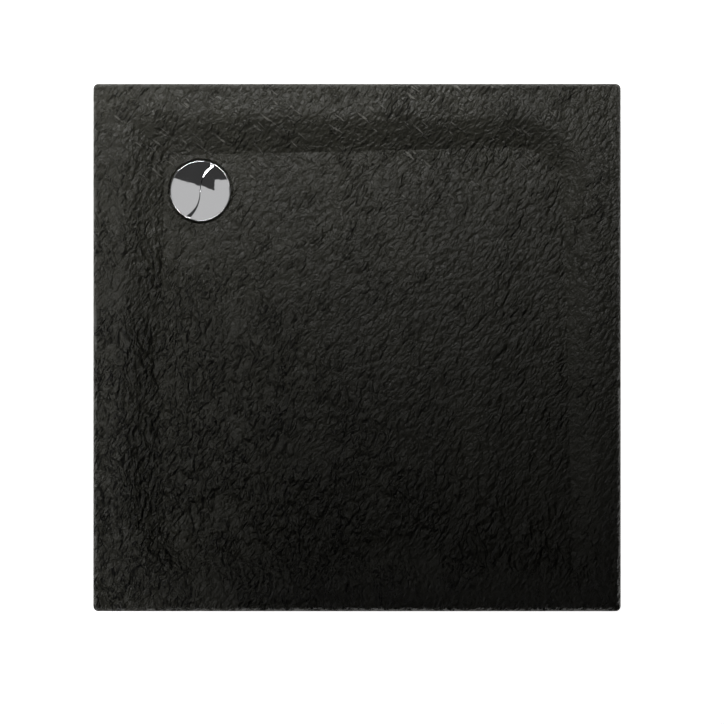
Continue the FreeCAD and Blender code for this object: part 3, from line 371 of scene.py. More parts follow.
def shell_surface(relief_scale):
    """Points and faces of the whole shell, closed: top with its relief, rim, skirt and underside.

    A square of the grid round the hole is left out and filled with rings. The rim, the skirt and
    the underside are rings too, and a fan closes the underside up to the recess.
    """
    x, y = slate_grid()
    x, y = settle(x, y, above_floor, EDGE_REACH)
    distance = deck_distance(x, y)
    height = np.maximum(wall_height(distance), floor_height(x, y))
    edge_gap = np.minimum(HALF - np.abs(x), HALF - np.abs(y))
    from_drain = np.hypot(x - DRAIN[0], y - DRAIN[1])
    fade = smooth_step(*RIM_FADE, edge_gap) * smooth_step(*RECESS_FADE, from_drain)
    height = height - relief_scale * (slate_relief(x, y) * fade)

    # Each cell is cut along the diagonal that lies nearer to the floor's edge or to the mitre.
    number = np.arange((CELLS + 1) ** 2).reshape(CELLS + 1, CELLS + 1)
    floor_start, floor_end = DECK_CELLS + WALL_CELLS, CELLS - DECK_CELLS - WALL_CELLS
    kept = np.ones((CELLS, CELLS), bool)
    kept[floor_start : floor_start + WINDOW, floor_end - WINDOW : floor_end] = False
    a, b = number[:-1, :-1][kept], number[1:, :-1][kept]
    c, d = number[1:, 1:][kept], number[:-1, 1:][kept]
    gap = np.abs(wall_height(distance) - floor_height(x, y))
    mitre = np.where((x < -360) & (y > 360), np.abs((x - DECK_EDGES[0]) - (DECK_EDGES[3] - y)), 1e3)
    score = np.minimum(gap, mitre).ravel()
    first_way = score[a] + score[c] <= score[b] + score[d]
    split = np.where(first_way[:, None], np.stack([a, b, c, a, c, d], 1), np.stack([b, c, d, b, d, a], 1))
    triangles = [split.reshape(-1, 3)]

    # From the window in the floor down to the hole and out under the recess.
    window = border(number[floor_start : floor_start + WINDOW + 1, floor_end - WINDOW : floor_end + 1])
    grid_points = np.stack([x, y, height], axis=-1).reshape(-1, 3)
    skin = Skin(grid_points, window)
    edge = grid_points[window]
    angle = np.arctan2(edge[:, 1] - DRAIN[1], edge[:, 0] - DRAIN[0])
    around_drain = np.stack([np.cos(angle), np.sin(angle)], axis=1)
    lip_start = RECESS_RADIUS + RECESS_LIP
    lip_plan = np.array(DRAIN) + lip_start * around_drain
    for share in np.linspace(0, 1, 9)[1:]:
        plan = edge[:, :2] + share * (lip_plan - edge[:, :2])
        fall = smooth_step(*RECESS_FADE, np.hypot(plan[:, 0] - DRAIN[0], plan[:, 1] - DRAIN[1]))
        depth = relief_scale * slate_relief(plan[:, 0], plan[:, 1]) * fall
        skin.add(plan, floor_height(plan[:, 0], plan[:, 1]) - depth)
    lip_floor = floor_height(lip_plan[:, 0], lip_plan[:, 1])
    lip_rings = [
        (lip_start - RECESS_LIP * math.sin(lean), lip_floor - RECESS_LIP * (1 - math.cos(lean)))
        for lean in (math.radians(30), math.radians(60), math.radians(90))
    ]
    under_recess = RECESS_FLOOR - SHELL_WALL
    under_plan = np.array(DRAIN) + (RECESS_RADIUS + SHELL_WALL) * around_drain
    for radius, level in (
        *lip_rings,
        (RECESS_RADIUS, RECESS_FLOOR + 0.6),
        (RECESS_RADIUS - 0.6, RECESS_FLOOR),
        (HOLE_RADIUS + 0.5, RECESS_FLOOR),
        (HOLE_RADIUS, RECESS_FLOOR - 0.5),
        (HOLE_RADIUS, under_recess),
        (RECESS_RADIUS + SHELL_WALL, under_recess),
        (RECESS_RADIUS + SHELL_WALL, floor_height(*under_plan.T) - SHELL_WALL),
    ):
        skin.add(np.array(DRAIN) + radius * around_drain, level)
    inner_loop = skin.last

    # From the grid's edge over the rim, down the skirt and up inside it to the deck.
    rim = border(number)
    base = np.clip(grid_points[rim, :2], -CORNER_CENTRE, CORNER_CENTRE)
    outward = grid_points[rim, :2] - base
    outward /= np.linalg.norm(outward, axis=1)[:, None]
    corner = HALF - CORNER_CENTRE
    grid_points[rim, :2] = base + (corner - RIM_ROUND) * outward
    skin.last = rim
    rim_rings = [
        (corner - RIM_ROUND * (1 - math.sin(turn)), RIM_TOP - RIM_ROUND * (1 - math.cos(turn)))
        for turn in (math.radians(22.5), math.radians(45), math.radians(67.5), math.radians(90))
    ]
    for offset, level in (
        *rim_rings,
        (corner, SKIRT_END + SKIRT_ROUND),
        (corner - SKIRT_ROUND, SKIRT_END),
        (corner - SHELL_WALL + SKIRT_ROUND, SKIRT_END),
        (corner - SHELL_WALL, SKIRT_END + SKIRT_ROUND),
        (corner - SHELL_WALL, RIM_TOP - SHELL_WALL),
    ):
        skin.add(base + offset * outward, level, turned=True)

    # Underside: rings a wall thickness below the top, from the deck down the wall to the floor.
    inside_deck = slice(DECK_CELLS, CELLS - DECK_CELLS + 1)
    deck_line = border(number[inside_deck, inside_deck])
    floor_line = border(number[floor_start : floor_end + 1, floor_start : floor_end + 1])
    under_lines = [
        (deck_line, lambda px, py, inset=inset: deck_distance(px, py) - inset) for inset in UNDER_INSETS
    ]
    for line, gap_at in (*under_lines, (floor_line, above_floor)):
        place = grid_points[line, :2]
        count = len(skin.last)
        share = np.arange(count) / count * len(line)
        low = np.floor(share).astype(int) % len(line)
        part = (share - np.floor(share))[:, None]
        plan = place[low] * (1 - part) + place[(low + 1) % len(line)] * part
        x, y = settle(plan[:, 0], plan[:, 1], gap_at, 90.0, 6)
        level = np.maximum(wall_height(deck_distance(x, y)), floor_height(x, y)) - SHELL_WALL
        skin.add(np.column_stack([x, y]), level, turned=True)

    # Fans from the floor's edge to the recess, one inner point to every few outer ones.
    ratio = len(skin.last) // len(inner_loop)
    outer = skin.last.reshape(len(inner_loop), ratio)
    following = np.roll(skin.last, -1).reshape(len(inner_loop), ratio)
    inner = np.broadcast_to(inner_loop[:, None], outer.shape)
    triangles.append(np.stack([inner, following, outer], axis=-1).reshape(-1, 3))
    triangles.append(np.stack([inner_loop, np.roll(inner_loop, -1), following[:, -1]], axis=-1))
    return np.concatenate(skin.points), [np.concatenate(triangles), np.concatenate(skin.quads)]


# --- waste cover

COVER_RADIUS = 57.5
COVER_BEAD, BEAD_HEIGHT = 1.5, 0.4
COVER_BASE, COVER_EDGE, COVER_CROWN = 133.0, 135.0, 138.0
COVER_WALL = 1.5
LEG_FOOT = 122.0
LEG_CIRCLE, LEG_WALL, LEG_WIDTH = 35.5, 3.0, 9.0
CREASE_HALF, CREASE_RADIUS = 5.0, 63.0
# The crease's ramp: width at the middle, how much wider at the rim, its curve, and the steep side.
RAMP_WIDTH, RAMP_FLARE, RAMP_CURVE, CLIFF_WIDTH = 1.3, 9.0, 1.6, 0.35
HOLLOW_DEPTH, HOLLOW_WIDTH = 0.25, 7
DIMPLE_FLAT, DIMPLE_RADIUS, DIMPLE_DEPTH = 0.4, 2.2, 0.35
COVER_SPOKES, COVER_ROWS, COVER_UNDER_ROWS = 360, 140, 12
# How strongly the spokes crowd towards the crease.
SPOKE_CROWD = 0.42


def crease_distance(x, y):
    """Signed distance from the S-shaped crease: x beside its straight middle, and beside each
    end the crease's radius less the distance from the end arc's centre."""
    high = CREASE_RADIUS - np.hypot(x - CREASE_RADIUS, y - CREASE_HALF)
    low = np.hypot(x + CREASE_RADIUS, y + CREASE_HALF) - CREASE_RADIUS
    return np.where(y > CREASE_HALF, high, np.where(y < -CREASE_HALF, low, x))


def crease_lean(radius):
    """Angle between the Y axis and the crease's point at a radius r about the cover's middle.

    The point lies on the end arc, so R sin(lean) + H cos(lean) = (r^2 + H^2) / (2 r), with the
    arc's radius R and the straight half length H; it is 0 on the straight middle.
    """
    reach = math.hypot(CREASE_RADIUS, CREASE_HALF)
    safe = np.maximum(radius, CREASE_HALF)
    start = math.atan2(CREASE_HALF, CREASE_RADIUS)
    return np.arcsin((safe**2 + CREASE_HALF**2) / (2 * safe * reach)) - start


def crease_drop(x, y, depth):
    """How far the cover's top sinks beside the crease.

    One side falls steeply to the crease. The other rises from it in a curved ramp that widens
    towards the rim: the right side above the middle, and the left side below it. A shallow
    hollow, exp(-(distance / width)^2), softens both, and a round dimple marks the middle.
    """
    side = np.where(y > 0, 1.0, -1.0)
    distance = crease_distance(x, y) * side
    reach = np.clip(np.abs(y) / COVER_RADIUS, 0, 1)
    width = RAMP_WIDTH + RAMP_FLARE * reach**2
    on_ramp = distance > -1e-6
    ramp = np.clip(1 - distance / width, 0, 1) ** RAMP_CURVE * on_ramp
    cliff = np.clip(1 + distance / CLIFF_WIDTH, 0, 1) * ~on_ramp
    middle = 1 - smooth_step(DIMPLE_FLAT, DIMPLE_RADIUS, np.hypot(x, y))
    hollow = HOLLOW_DEPTH * np.exp(-((distance / HOLLOW_WIDTH) ** 2))
    return depth * ((1 + 1.4 * reach) * (ramp + cliff) + hollow) + DIMPLE_DEPTH * middle


def cover_surface(crease_depth):
    """Points and faces of the cover about its own axis.

    The top is a ball's cap, sunk beside the crease. Its spokes are twisted with the radius so
    that two of them run along the crease, and crowd there. A bead, a turned-down edge and the
    underside close it, and three legs hang below.
    """
    inner = COVER_RADIUS - COVER_BEAD
    ball = (inner**2 + (COVER_CROWN - COVER_EDGE) ** 2) / (2 * (COVER_CROWN - COVER_EDGE))
    count = COVER_SPOKES
    turn = full_turn(count)
    angle = turn + SPOKE_CROWD * np.sin(2 * turn)

    def cap(radius, lowered, creased):
        around = angle - crease_lean(radius)[:, None]
        x, y = radius[:, None] * np.cos(around), radius[:, None] * np.sin(around)
        z = COVER_CROWN - ball + np.sqrt(ball**2 - x**2 - y**2) - lowered
        if creased:
            edge = smooth_step(0.0, 2.5, inner - np.hypot(x, y))
            z -= edge * crease_drop(x, y, crease_depth)
        return np.stack([x, y, z], axis=-1)

    def ring(radius, height):
        around = angle - crease_lean(np.float64(inner))
        return np.stack([radius * np.cos(around), radius * np.sin(around), np.full(count, height)], axis=-1)

    bead_middle = COVER_RADIUS - COVER_BEAD / 2
    bead = [
        ring(bead_middle + COVER_BEAD / 2 * math.cos(lean), COVER_EDGE + BEAD_HEIGHT * math.sin(lean))
        for lean in map(math.radians, np.linspace(180, 0, 9)[1:-1])
    ]
    rows = [
        *cap(np.linspace(0, inner, COVER_ROWS + 1)[1:], 0.0, True),
        *bead,
        ring(COVER_RADIUS, COVER_EDGE),
        ring(COVER_RADIUS, COVER_BASE + 0.3),
        ring(COVER_RADIUS - 0.3, COVER_BASE),
        ring(inner + 0.3, COVER_BASE),
        ring(inner, COVER_BASE + 0.3),
        *cap(np.linspace(inner, 0, COVER_UNDER_ROWS + 1)[:-1], COVER_WALL, False),
    ]
    sunk = crease_drop(np.zeros(1), np.zeros(1), crease_depth)[0]
    ends = [[0, 0, COVER_CROWN - COVER_WALL], [0, 0, COVER_CROWN - sunk]]
    points, quads, fans = stack_rings(np.array(rows[::-1]), ends)
    legs, leg_faces = cover_legs(ball)
    return np.concatenate([points, legs]), [quads, fans, *(group + len(points) for group in leg_faces)]


def cover_legs(ball):
    """Three tongues below the cover: rounded rectangles carried down from the dome's underside,
    pulled in by a millimetre at their feet."""
    turn = full_turn(16)
    outline = np.stack([np.cos(turn), np.sin(turn), 0 * turn], axis=1)
    outline = np.sign(outline) * np.abs(outline) ** 0.45 * [LEG_WALL / 2, LEG_WIDTH / 2, 1]
    top = COVER_CROWN - COVER_WALL - LEG_CIRCLE**2 / (2 * ball) + 0.2
    levels = ((LEG_FOOT, 0.82), (LEG_FOOT + 0.3, 0.94), (LEG_FOOT + 1.0, 1.0), (top, 1.0))
    points, quads, fans = stack_rings(np.array([outline * size + [0, 0, height] for height, size in levels]))
    legs = []
    for spin in full_turn(3):
        x, y = points[:, 0] + LEG_CIRCLE, points[:, 1]
        plan = [x * math.cos(spin) - y * math.sin(spin), x * math.sin(spin) + y * math.cos(spin)]
        legs.append(np.column_stack([*plan, points[:, 2]]))
    starts = len(points) * np.arange(3)[:, None, None]
    return np.concatenate(legs), [(quads + starts).reshape(-1, 4), (fans + starts).reshape(-1, 3)]


# --- rods, screws and sealing ring

ROD_END, ROD_TOP = 5.0, 105.0
ROD_CREST, THREAD_PITCH, THREAD_DEPTH = 5.95, 1.75, 1.05
ROD_SIDES, THREAD_STEPS = 28, 8
# Shares of half the pitch: flat on the thread's crest, and its flank.
THREAD_CREST, THREAD_FLANK = 0.15, 0.62
THREAD_START = 35.0
COLLAR_LOW, COLLAR_HIGH, COLLAR_FLAT = 25.0, 33.0, 17.0
CLAMP_CIRCLE, CLAMP_TOP = 37.0, 120.0
FOOT_SCREW_CIRCLE, FOOT_SCREW_TURNS = 30.0, (30, 150, 270)
BOSS_HEIGHT, PLATE_WALL = 50.0, 6.0
# Screws: radius of the head, radius of the shank, length.
CLAMP_SCREW, FOOT_SCREW = (3.8, 2.4, 13.95), (4.0, 1.9, 17.0)
# The cross recess: its depth, and its arms' half width and length as shares of the head's radius.
CROSS_DEPTH, ARM_SHARE, ARM_REACH = 1.2, 0.13, 0.62
RING_MIDDLE, RING_HEIGHT = 30.7, 111.0


def rod_surface():
    """A threaded rod about its own axis, with a spanner collar near its foot.

    Right-hand thread: with p = height / pitch - turn, the radius is the crest less the depth
    times a flank that is 0 on the crest, 1 in the root and straight between. Cones of 45
    degrees trim both ends.
    """
    angle = full_turn(ROD_SIDES)[None, :]
    plain = np.array([ROD_END, ROD_END + 1.1, THREAD_START - 1])
    threaded = np.arange(THREAD_START, ROD_TOP, THREAD_PITCH / THREAD_STEPS)
    height = np.concatenate([plain, threaded, [ROD_TOP]])[:, None]
    phase = height / THREAD_PITCH - angle / (2 * math.pi)
    away = np.abs(2 * (phase - np.floor(phase)) - 1)
    flank = np.clip((away - THREAD_CREST) / THREAD_FLANK, 0, 1)
    cut = smooth_step(THREAD_START, THREAD_START + 2, height) * flank
    envelope = ROD_CREST - 1.2 + np.minimum(height - ROD_END, ROD_TOP - height)
    radius = np.minimum(ROD_CREST - THREAD_DEPTH * cut, envelope)
    return stack_rings(upright_rings(radius, angle, height))


def collar_surface(flat, low, high):
    """A hexagon across a flat size whose tips are bevelled at 30 degrees at both ends."""
    angle = full_turn(72)[None, :]
    sector = math.radians(60)
    hexagon = flat / 2 / np.cos((angle + sector / 2) % sector - sector / 2)
    height = np.array([low, low + 0.4, low + 0.8, low + 1.2, high - 1.2, high - 0.8, high - 0.4, high])
    height = height[:, None]
    cone = flat / 2 + np.minimum(height - low, high - height) / math.tan(math.radians(30))
    return stack_rings(upright_rings(np.minimum(hexagon, cone), angle, height))


def screw_surface(head, shank, length):
    """A countersunk screw hanging down from its head's top at 0, with a cross recess.

    The recess is deep where a point is nearer than the arm's half width to the X or Y axis of
    the head, and less deep towards the ends of the arms.
    """
    count = 48
    angle = full_turn(count)[None, :]
    side_radius = np.array([0.3, shank - 0.4, shank, shank, head - 0.15, head, head - 0.2])
    side_height = np.array([-length, 1.2 - length, 2 - length, shank - head, -0.35, -0.15, 0.0])
    top_radius = np.linspace(head - 0.2, 0.25, 22)[1:]
    radius = np.concatenate([side_radius, top_radius])[:, None] + 0 * angle
    x, y = radius * np.cos(angle), radius * np.sin(angle)
    arm = ARM_SHARE * head
    across = np.minimum(np.abs(x), np.abs(y))
    reach = smooth_step(0.0, 0.3, ARM_REACH * head - radius)
    reach = reach * (1 - smooth_step(0.7 * arm, 1.5 * arm, across))
    recess = CROSS_DEPTH * reach * (1 - 0.5 * radius / head)
    on_top = np.arange(len(radius))[:, None] >= len(side_height)
    height = np.concatenate([side_height, 0 * top_radius])[:, None] - recess * on_top
    return stack_rings(upright_rings(radius, angle, height))


def box_middle(name):
    """The middle of a CAD node's box, in millimetres."""
    low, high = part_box(name)
    return [(a + b) / 2 / MM for a, b in zip(low, high)]


# --- materials

# Size in metres of a cloudy noise, and heights in metres of the slate's bump.
CLOUD = (0.05, 0.05, 0.05)
WRINKLE_BUMP, STROKE_BUMP, GRAIN_BUMP, SCRATCH_BUMP = 0.019, 0.005, 0.0085, 0.004


def node(tree, kind, inputs=(), **settings):
    """A shader node with its settings made and its inputs linked or set."""
    made = tree.nodes.new("ShaderNode" + kind)
    for key, setting in settings.items():
        setattr(made, key, setting)
    for key, source in dict(inputs).items():
        if isinstance(source, bpy.types.NodeSocket):
            tree.links.new(source, made.inputs[key])
        else:
            made.inputs[key].default_value = source
    return made


def new_finish(name, **sockets):
    """A material with a Principled BSDF, its constants set on the shader's own sockets."""
    finish = bpy.data.materials.new(name)
    finish.use_nodes = True
    shader = finish.node_tree.nodes["Principled BSDF"]
    for key, setting in sockets.items():
        shader.inputs[key.replace("_", " ")].default_value = setting
    return finish, finish.node_tree


def object_place(tree):
    """Object coordinates, from the tree's one Texture Coordinate node."""
    made = tree.nodes.get("Texture Coordinate") or node(tree, "TexCoord")
    return made.outputs["Object"]


def noise(tree, size, detail=2.0, roughness=0.5, distortion=0.0, turn=0.0, offset=0.0):
    """Noise whose features are of the given sizes in metres, turned about Z by degrees."""
    inputs = {"Vector": object_place(tree), "Location": (offset,) * 3, "Scale": size}
    inputs["Rotation"] = (0, 0, math.radians(turn))
    mapped = node(tree, "Mapping", inputs, vector_type="TEXTURE").outputs[0]
    inputs = {"Vector": mapped, "Scale": 1.0, "Detail": detail}
    inputs |= {"Roughness": roughness, "Distortion": distortion}
    return node(tree, "TexNoise", inputs).outputs["Fac"]


def spread(tree, source, low, high, start=0.0, end=1.0):
    """The source remapped smoothly from low..high to start..end."""
    inputs = {"Value": source, "From Min": low, "From Max": high, "To Min": start, "To Max": end}
    return node(tree, "MapRange", inputs, interpolation_type="SMOOTHSTEP").outputs["Result"]


def calculate(tree, operation, *sources):
    return node(tree, "Math", dict(enumerate(sources)), operation=operation).outputs[0]


def multiply(tree, first, second):
    return calculate(tree, "MULTIPLY", first, second)


def bump(tree, height, distance, normal=None):
    inputs = {"Height": height, "Distance": distance}
    if normal is not None:
        inputs["Normal"] = normal
    return node(tree, "Bump", inputs).outputs["Normal"]


def mix_colour(tree, share, first, second):
    return node(tree, "Mix", {0: share, 6: first, 7: second}, data_type="RGBA").outputs[2]


def shade(colour, factor):
    """The colour made darker or lighter, no channel past 1."""
    return tuple(min(1.0, factor * channel) for channel in colour[:3]) + (1,)


def dress(finish, colour, roughness, normal):
    """Links what is given to the finish's shader."""
    shader = finish.node_tree.nodes["Principled BSDF"]
    for key, source in (("Base Color", colour), ("Roughness", roughness), ("Normal", normal)):
        if source is not None:
            finish.node_tree.links.new(source, shader.inputs[key])
    return finish


def strokes(tree, across, along, lean, low, high, offset):
    """Short raised strokes, 1 along their middles: a stretched noise, kept where it is high."""
    lines = noise(tree, (across, along, 0.02), 2.0, 0.5, 0.3, lean, offset)
    return spread(tree, lines, low, high)


def slate_finish(colour):
    """Semi-matt dark moulding: crumpled wrinkles, strokes, scratches and a fine pitted grain."""
    finish, tree = new_finish("slate_moulding", Specular_IOR_Level=0.5)
    parts = node(tree, "SeparateXYZ", {"Vector": object_place(tree)}).outputs

    # Wrinkles in patches, strongest at the front left, in two directions that take turns.
    slant = calculate(tree, "MULTIPLY_ADD", parts["X"], -0.8, multiply(tree, parts["Y"], -1.0))
    front_left = spread(tree, slant, -0.15, 0.45)
    patch = spread(tree, noise(tree, (0.07, 0.11, 0.05), 3.0, 0.6, 0.3, 10, 2.0), 0.38, 0.6, 0.1, 1.0)
    reach = multiply(tree, patch, front_left)
    swap = spread(tree, noise(tree, CLOUD, 1.0, 0.5, 0.0, 0, 9.0), 0.42, 0.58)
    upright = noise(tree, (0.014, 0.032, 0.02), 2.0, 0.5, 0.6, 10, 1.0)
    leaning = noise(tree, (0.014, 0.030, 0.02), 2.0, 0.5, 0.6, -22, 4.0)
    upright = multiply(tree, upright, swap)
    leaning = multiply(tree, leaning, calculate(tree, "SUBTRACT", 1.0, swap))
    wrinkles = spread(tree, calculate(tree, "ADD", upright, leaning), 0.38, 0.62)
    normal = bump(tree, multiply(tree, wrinkles, reach), WRINKLE_BUMP)

    # Strokes in clusters, leaning to the right.
    clusters = spread(tree, noise(tree, (0.05, 0.07, 0.05), 2.0, 0.5, 0.0, 0, 6.0), 0.48, 0.6)
    middle = strokes(tree, 0.011, 0.036, -32, 0.5, 0.66, 5.0)
    normal = bump(tree, multiply(tree, middle, clusters), STROKE_BUMP, normal)
    grain = noise(tree, (0.009, 0.015, 0.01), 2.0, 0.6, 0.3, -35, 5.0)
    normal = bump(tree, grain, GRAIN_BUMP, normal)

    # Pale scratches at the back, leaning to the left.
    top = spread(tree, parts["Y"], 0.2, 0.42)
    scratch_patch = spread(tree, noise(tree, CLOUD, 2.0, 0.5, 0.0, 0, 7.0), 0.42, 0.58)
    scratches = strokes(tree, 0.005, 0.036, 52, 0.60, 0.68, 3.0)
    scratches = multiply(tree, scratches, multiply(tree, scratch_patch, top))
    normal = bump(tree, scratches, SCRATCH_BUMP, normal)

    tone = spread(tree, noise(tree, (0.12, 0.16, 0.1), 4.0, 0.6), 0.35, 0.65)
    base = mix_colour(tree, tone, shade(colour, 0.9), shade(colour, 1.1))
    worn = mix_colour(tree, multiply(tree, scratches, 0.6), base, (0.24, 0.235, 0.21, 1))
    return dress(finish, worn, spread(tree, grain, 0.3, 0.7, 0.42, 0.54), normal)


def chrome_finish(colour):
    """Polished plate with faint wipe marks in its gloss."""
    finish, tree = new_finish("polished_chrome", Base_Color=colour, Metallic=1.0)
    wipes = noise(tree, (0.008, 0.05, 0.02), 3.0, 0.6, 1.2, 35)
    gloss = spread(tree, wipes, 0.35, 0.75, 0.02, 0.05)
    waves = noise(tree, (0.012, 0.012, 0.012), 1.0)
    return dress(finish, None, gloss, bump(tree, waves, 0.00003))


def moulded_finish(name, colour, roughness, grain_size, grain_depth):
    """Injection-moulded plastic or rubber: cloudy colour and gloss over a spark-eroded grain."""
    finish, tree = new_finish(name)
    cloud = noise(tree, (0.03, 0.03, 0.045), 3.0, 0.55, 0.8)
    base = mix_colour(tree, spread(tree, cloud, 0.35, 0.65), shade(colour, 0.86), shade(colour, 1.1))
    gloss = spread(tree, cloud, 0.3, 0.7, roughness - 0.06, roughness + 0.06)
    grain = noise(tree, (grain_size,) * 3, 3.0, 0.6)
    return dress(finish, base, gloss, bump(tree, grain, grain_depth))


def steel_finish():
    """Zinc-plated steel: blue-grey mottling and fine drawing lines."""
    finish, tree = new_finish("zinc_plated_steel", Metallic=1.0)
    cloud = noise(tree, (0.006, 0.006, 0.009), 4.0, 0.6, 0.5)
    base = mix_colour(tree, spread(tree, cloud, 0.35, 0.65), (0.5, 0.51, 0.52, 1), (0.68, 0.67, 0.62, 1))
    gloss = spread(tree, cloud, 0.3, 0.7, 0.28, 0.46)
    lines = noise(tree, (0.0006, 0.0006, 0.02), 2.0)
    return dress(finish, base, gloss, bump(tree, lines, 0.00004))


def fibre_finish():
    """Chopped-strand laminate: short fibres in three directions under an uneven resin skin."""
    finish, tree = new_finish("glass_fibre_laminate", Coat_Weight=0.25, Coat_Roughness=0.3)
    strands = None
    for turn in (12, 71, 128):
        lines = noise(tree, (0.0016, 0.05, 0.05), 1.5, 0.5, 0.25, turn, turn * 0.01)
        lines = spread(tree, lines, 0.56, 0.68)
        strands = lines if strands is None else calculate(tree, "MAXIMUM", strands, lines)
    resin = noise(tree, CLOUD, 4.0, 0.6)
    base = mix_colour(tree, spread(tree, resin, 0.3, 0.7), (0.5, 0.47, 0.35, 1), (0.66, 0.63, 0.5, 1))
    base = mix_colour(tree, multiply(tree, strands, 0.5), base, (0.8, 0.78, 0.7, 1))
    gloss = spread(tree, resin, 0.3, 0.7, 0.32, 0.55)
    return dress(finish, base, gloss, bump(tree, strands, 0.0005, bump(tree, resin, 0.004)))


def chipboard_finish():
    """Raw chipboard: pressed flakes of several tones with sanded grain."""
    finish, tree = new_finish("raw_chipboard", Roughness=0.85)
    bend = noise(tree, (0.01, 0.01, 0.01), 2.0)
    inputs = {"Vector": object_place(tree), "Scale": (0.009, 0.0045, 0.0035)}
    stretched = node(tree, "Mapping", inputs, vector_type="TEXTURE").outputs[0]
    flakes = node(tree, "TexVoronoi", {"Vector": stretched, "Scale": 1.0}).outputs
    tone = node(tree, "SeparateColor", {"Color": flakes["Color"]}).outputs[0]
    base = mix_colour(tree, tone, (0.42, 0.28, 0.15, 1), (0.72, 0.57, 0.37, 1))
    base = mix_colour(tree, spread(tree, bend, 0.55, 0.75, 0.0, 0.35), base, (0.3, 0.2, 0.11, 1))
    edge = spread(tree, flakes["Distance"], 0.0, 0.6, 1.0, 0.0)
    fine = noise(tree, (0.0012, 0.003, 0.002), 3.0)
    return dress(finish, base, None, bump(tree, fine, 0.0002, bump(tree, edge, 0.0002)))


def rubber_finish():
    return moulded_finish("black_rubber", (0.02, 0.02, 0.021), 0.62, 0.0012, 0.0001)


# --- settings


class TraySettings(bpy.types.PropertyGroup):
    """Sizes and colours of the moulded tray."""

    slate_colour: bpy.props.FloatVectorProperty(
        name="Slate colour", description="Colour of the moulded shell", subtype="COLOR", size=4,
        default=(0.030, 0.0292, 0.0205, 1.0), min=0.0, max=1.0,
    )
    relief: bpy.props.FloatProperty(
        name="Relief", description="Depth of the slate relief as a share of its full depth",
        subtype="FACTOR", default=1.0, min=0.0, max=1.5,
    )


class CoverSettings(bpy.types.PropertyGroup):
    """Shape and colour of the waste cover."""

    chrome_colour: bpy.props.FloatVectorProperty(
        name="Chrome colour", description="Colour of the plated cover", subtype="COLOR", size=4,
        default=(0.78, 0.78, 0.79, 1.0), min=0.0, max=1.0,
    )
    crease_depth: bpy.props.FloatProperty(
        name="Crease depth", description="How deep the S-shaped crease is, in millimetres",
        default=0.4, min=0.0, max=0.5,
    )


class StageSettings(bpy.types.PropertyGroup):
    """Lamps and camera."""

    back_light: bpy.props.FloatProperty(
        name="Back lamps", description="Brightness of the three soft lamps at the back wall side",
        default=24.0, min=0.0,
    )
    left_light: bpy.props.FloatProperty(
        name="Left lamps", description="Brightness of the two soft lamps at the left wall side",
        default=19.0, min=0.0,
    )
    front_light: bpy.props.FloatProperty(
        name="Front lamp", description="Brightness of the large soft lamp far in front", default=0.5, min=0.0,
    )
    window_light: bpy.props.FloatProperty(
        name="Window card", description="Brightness of the bright card overhead that the cover mirrors",
        default=0.58, min=0.0,
    )
    side_light: bpy.props.FloatProperty(
        name="Side lamps", description="Brightness of the low lamps round the skirt and feet",
        default=3.0, min=0.0,
    )
    camera_height: bpy.props.FloatProperty(
        name="Camera height", description="Height of the camera above the floor", unit="LENGTH", default=2.9,
    )


# --- operators


class BuildShell(bpy.types.Operator):
    """Build the slate-effect shell with its relief"""

    bl_idname = "tray.build_shell"
    bl_label = "Slate Shell"

    def execute(self, context):
        tray = context.scene.tray_sizes
        points, faces = shell_surface(tray.relief)
        finish = slate_finish(tray.slate_colour)
        add_piece("slate_shell", points, faces, finish, "tray", ["tray_shell"], crease=26)
        return {"FINISHED"}


class BuildCover(bpy.types.Operator):
    """Build the domed chrome cover with its S-shaped crease"""

    bl_idname = "tray.build_cover"
    bl_label = "Waste Cover"

    def execute(self, context):
        cover = context.scene.cover_sizes
        points, faces = cover_surface(cover.crease_depth)
        points = points + np.array([*DRAIN, 0.0])
        finish = chrome_finish(cover.chrome_colour)
        add_piece("chrome_cover", points, faces, finish, "cover", ["waste_cover"], crease=35)
        return {"FINISHED"}


class BuildRods(bpy.types.Operator):
    """Build the threaded rods of the levelling feet"""

    bl_idname = "tray.build_rods"
    bl_label = "Threaded Rods"

    def execute(self, context):
        finish = steel_finish()
        rod, rod_quads, rod_fans = rod_surface()
        collar, collar_quads, collar_fans = collar_surface(COLLAR_FLAT, COLLAR_LOW, COLLAR_HIGH)
        surface = (
            np.concatenate([rod, collar]),
            np.concatenate([rod_quads, collar_quads + len(rod)]),
            np.concatenate([rod_fans, collar_fans + len(rod)]),
        )
        for side in FEET:
            node_name = f"foot_rod_{side}"
            x, y, _ = box_middle(node_name)
            points, faces = place_copies(surface, [(x, y, 0.0)])
            rod_name = f"threaded_rod_{side}"
            add_piece(rod_name, points, faces, finish, node_name, [node_name], crease=30)
        return {"FINISHED"}


class BuildScrews(bpy.types.Operator):
    """Build the countersunk screws of the waste and of the feet"""

    bl_idname = "tray.build_screws"
    bl_label = "Screws"

    def execute(self, context):
        finish = steel_finish()
        clamp_spots = [
            (DRAIN[0] + CLAMP_CIRCLE * math.cos(turn), DRAIN[1] + CLAMP_CIRCLE * math.sin(turn), CLAMP_TOP)
            for turn in np.radians((0, 120, 240))
        ]
        points, faces = place_copies(screw_surface(*CLAMP_SCREW), clamp_spots)
        add_piece("waste_screws", points, faces, finish, "tray", ["flange_screws"], crease=35)
        foot_spots = []
        for side in FEET:
            x, y, _ = box_middle(f"foot_socket_{side}")
            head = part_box(f"foot_nut_{side}")[1][2] / MM + BOSS_HEIGHT - PLATE_WALL
            foot_spots += [
                (x + FOOT_SCREW_CIRCLE * math.cos(turn), y + FOOT_SCREW_CIRCLE * math.sin(turn), head)
                for turn in np.radians(FOOT_SCREW_TURNS)
            ]
        points, faces = place_copies(screw_surface(*FOOT_SCREW), foot_spots, flip=True)
        add_piece("socket_screws", points, faces, finish, "tray", ["foot_screws"], crease=35)
        return {"FINISHED"}


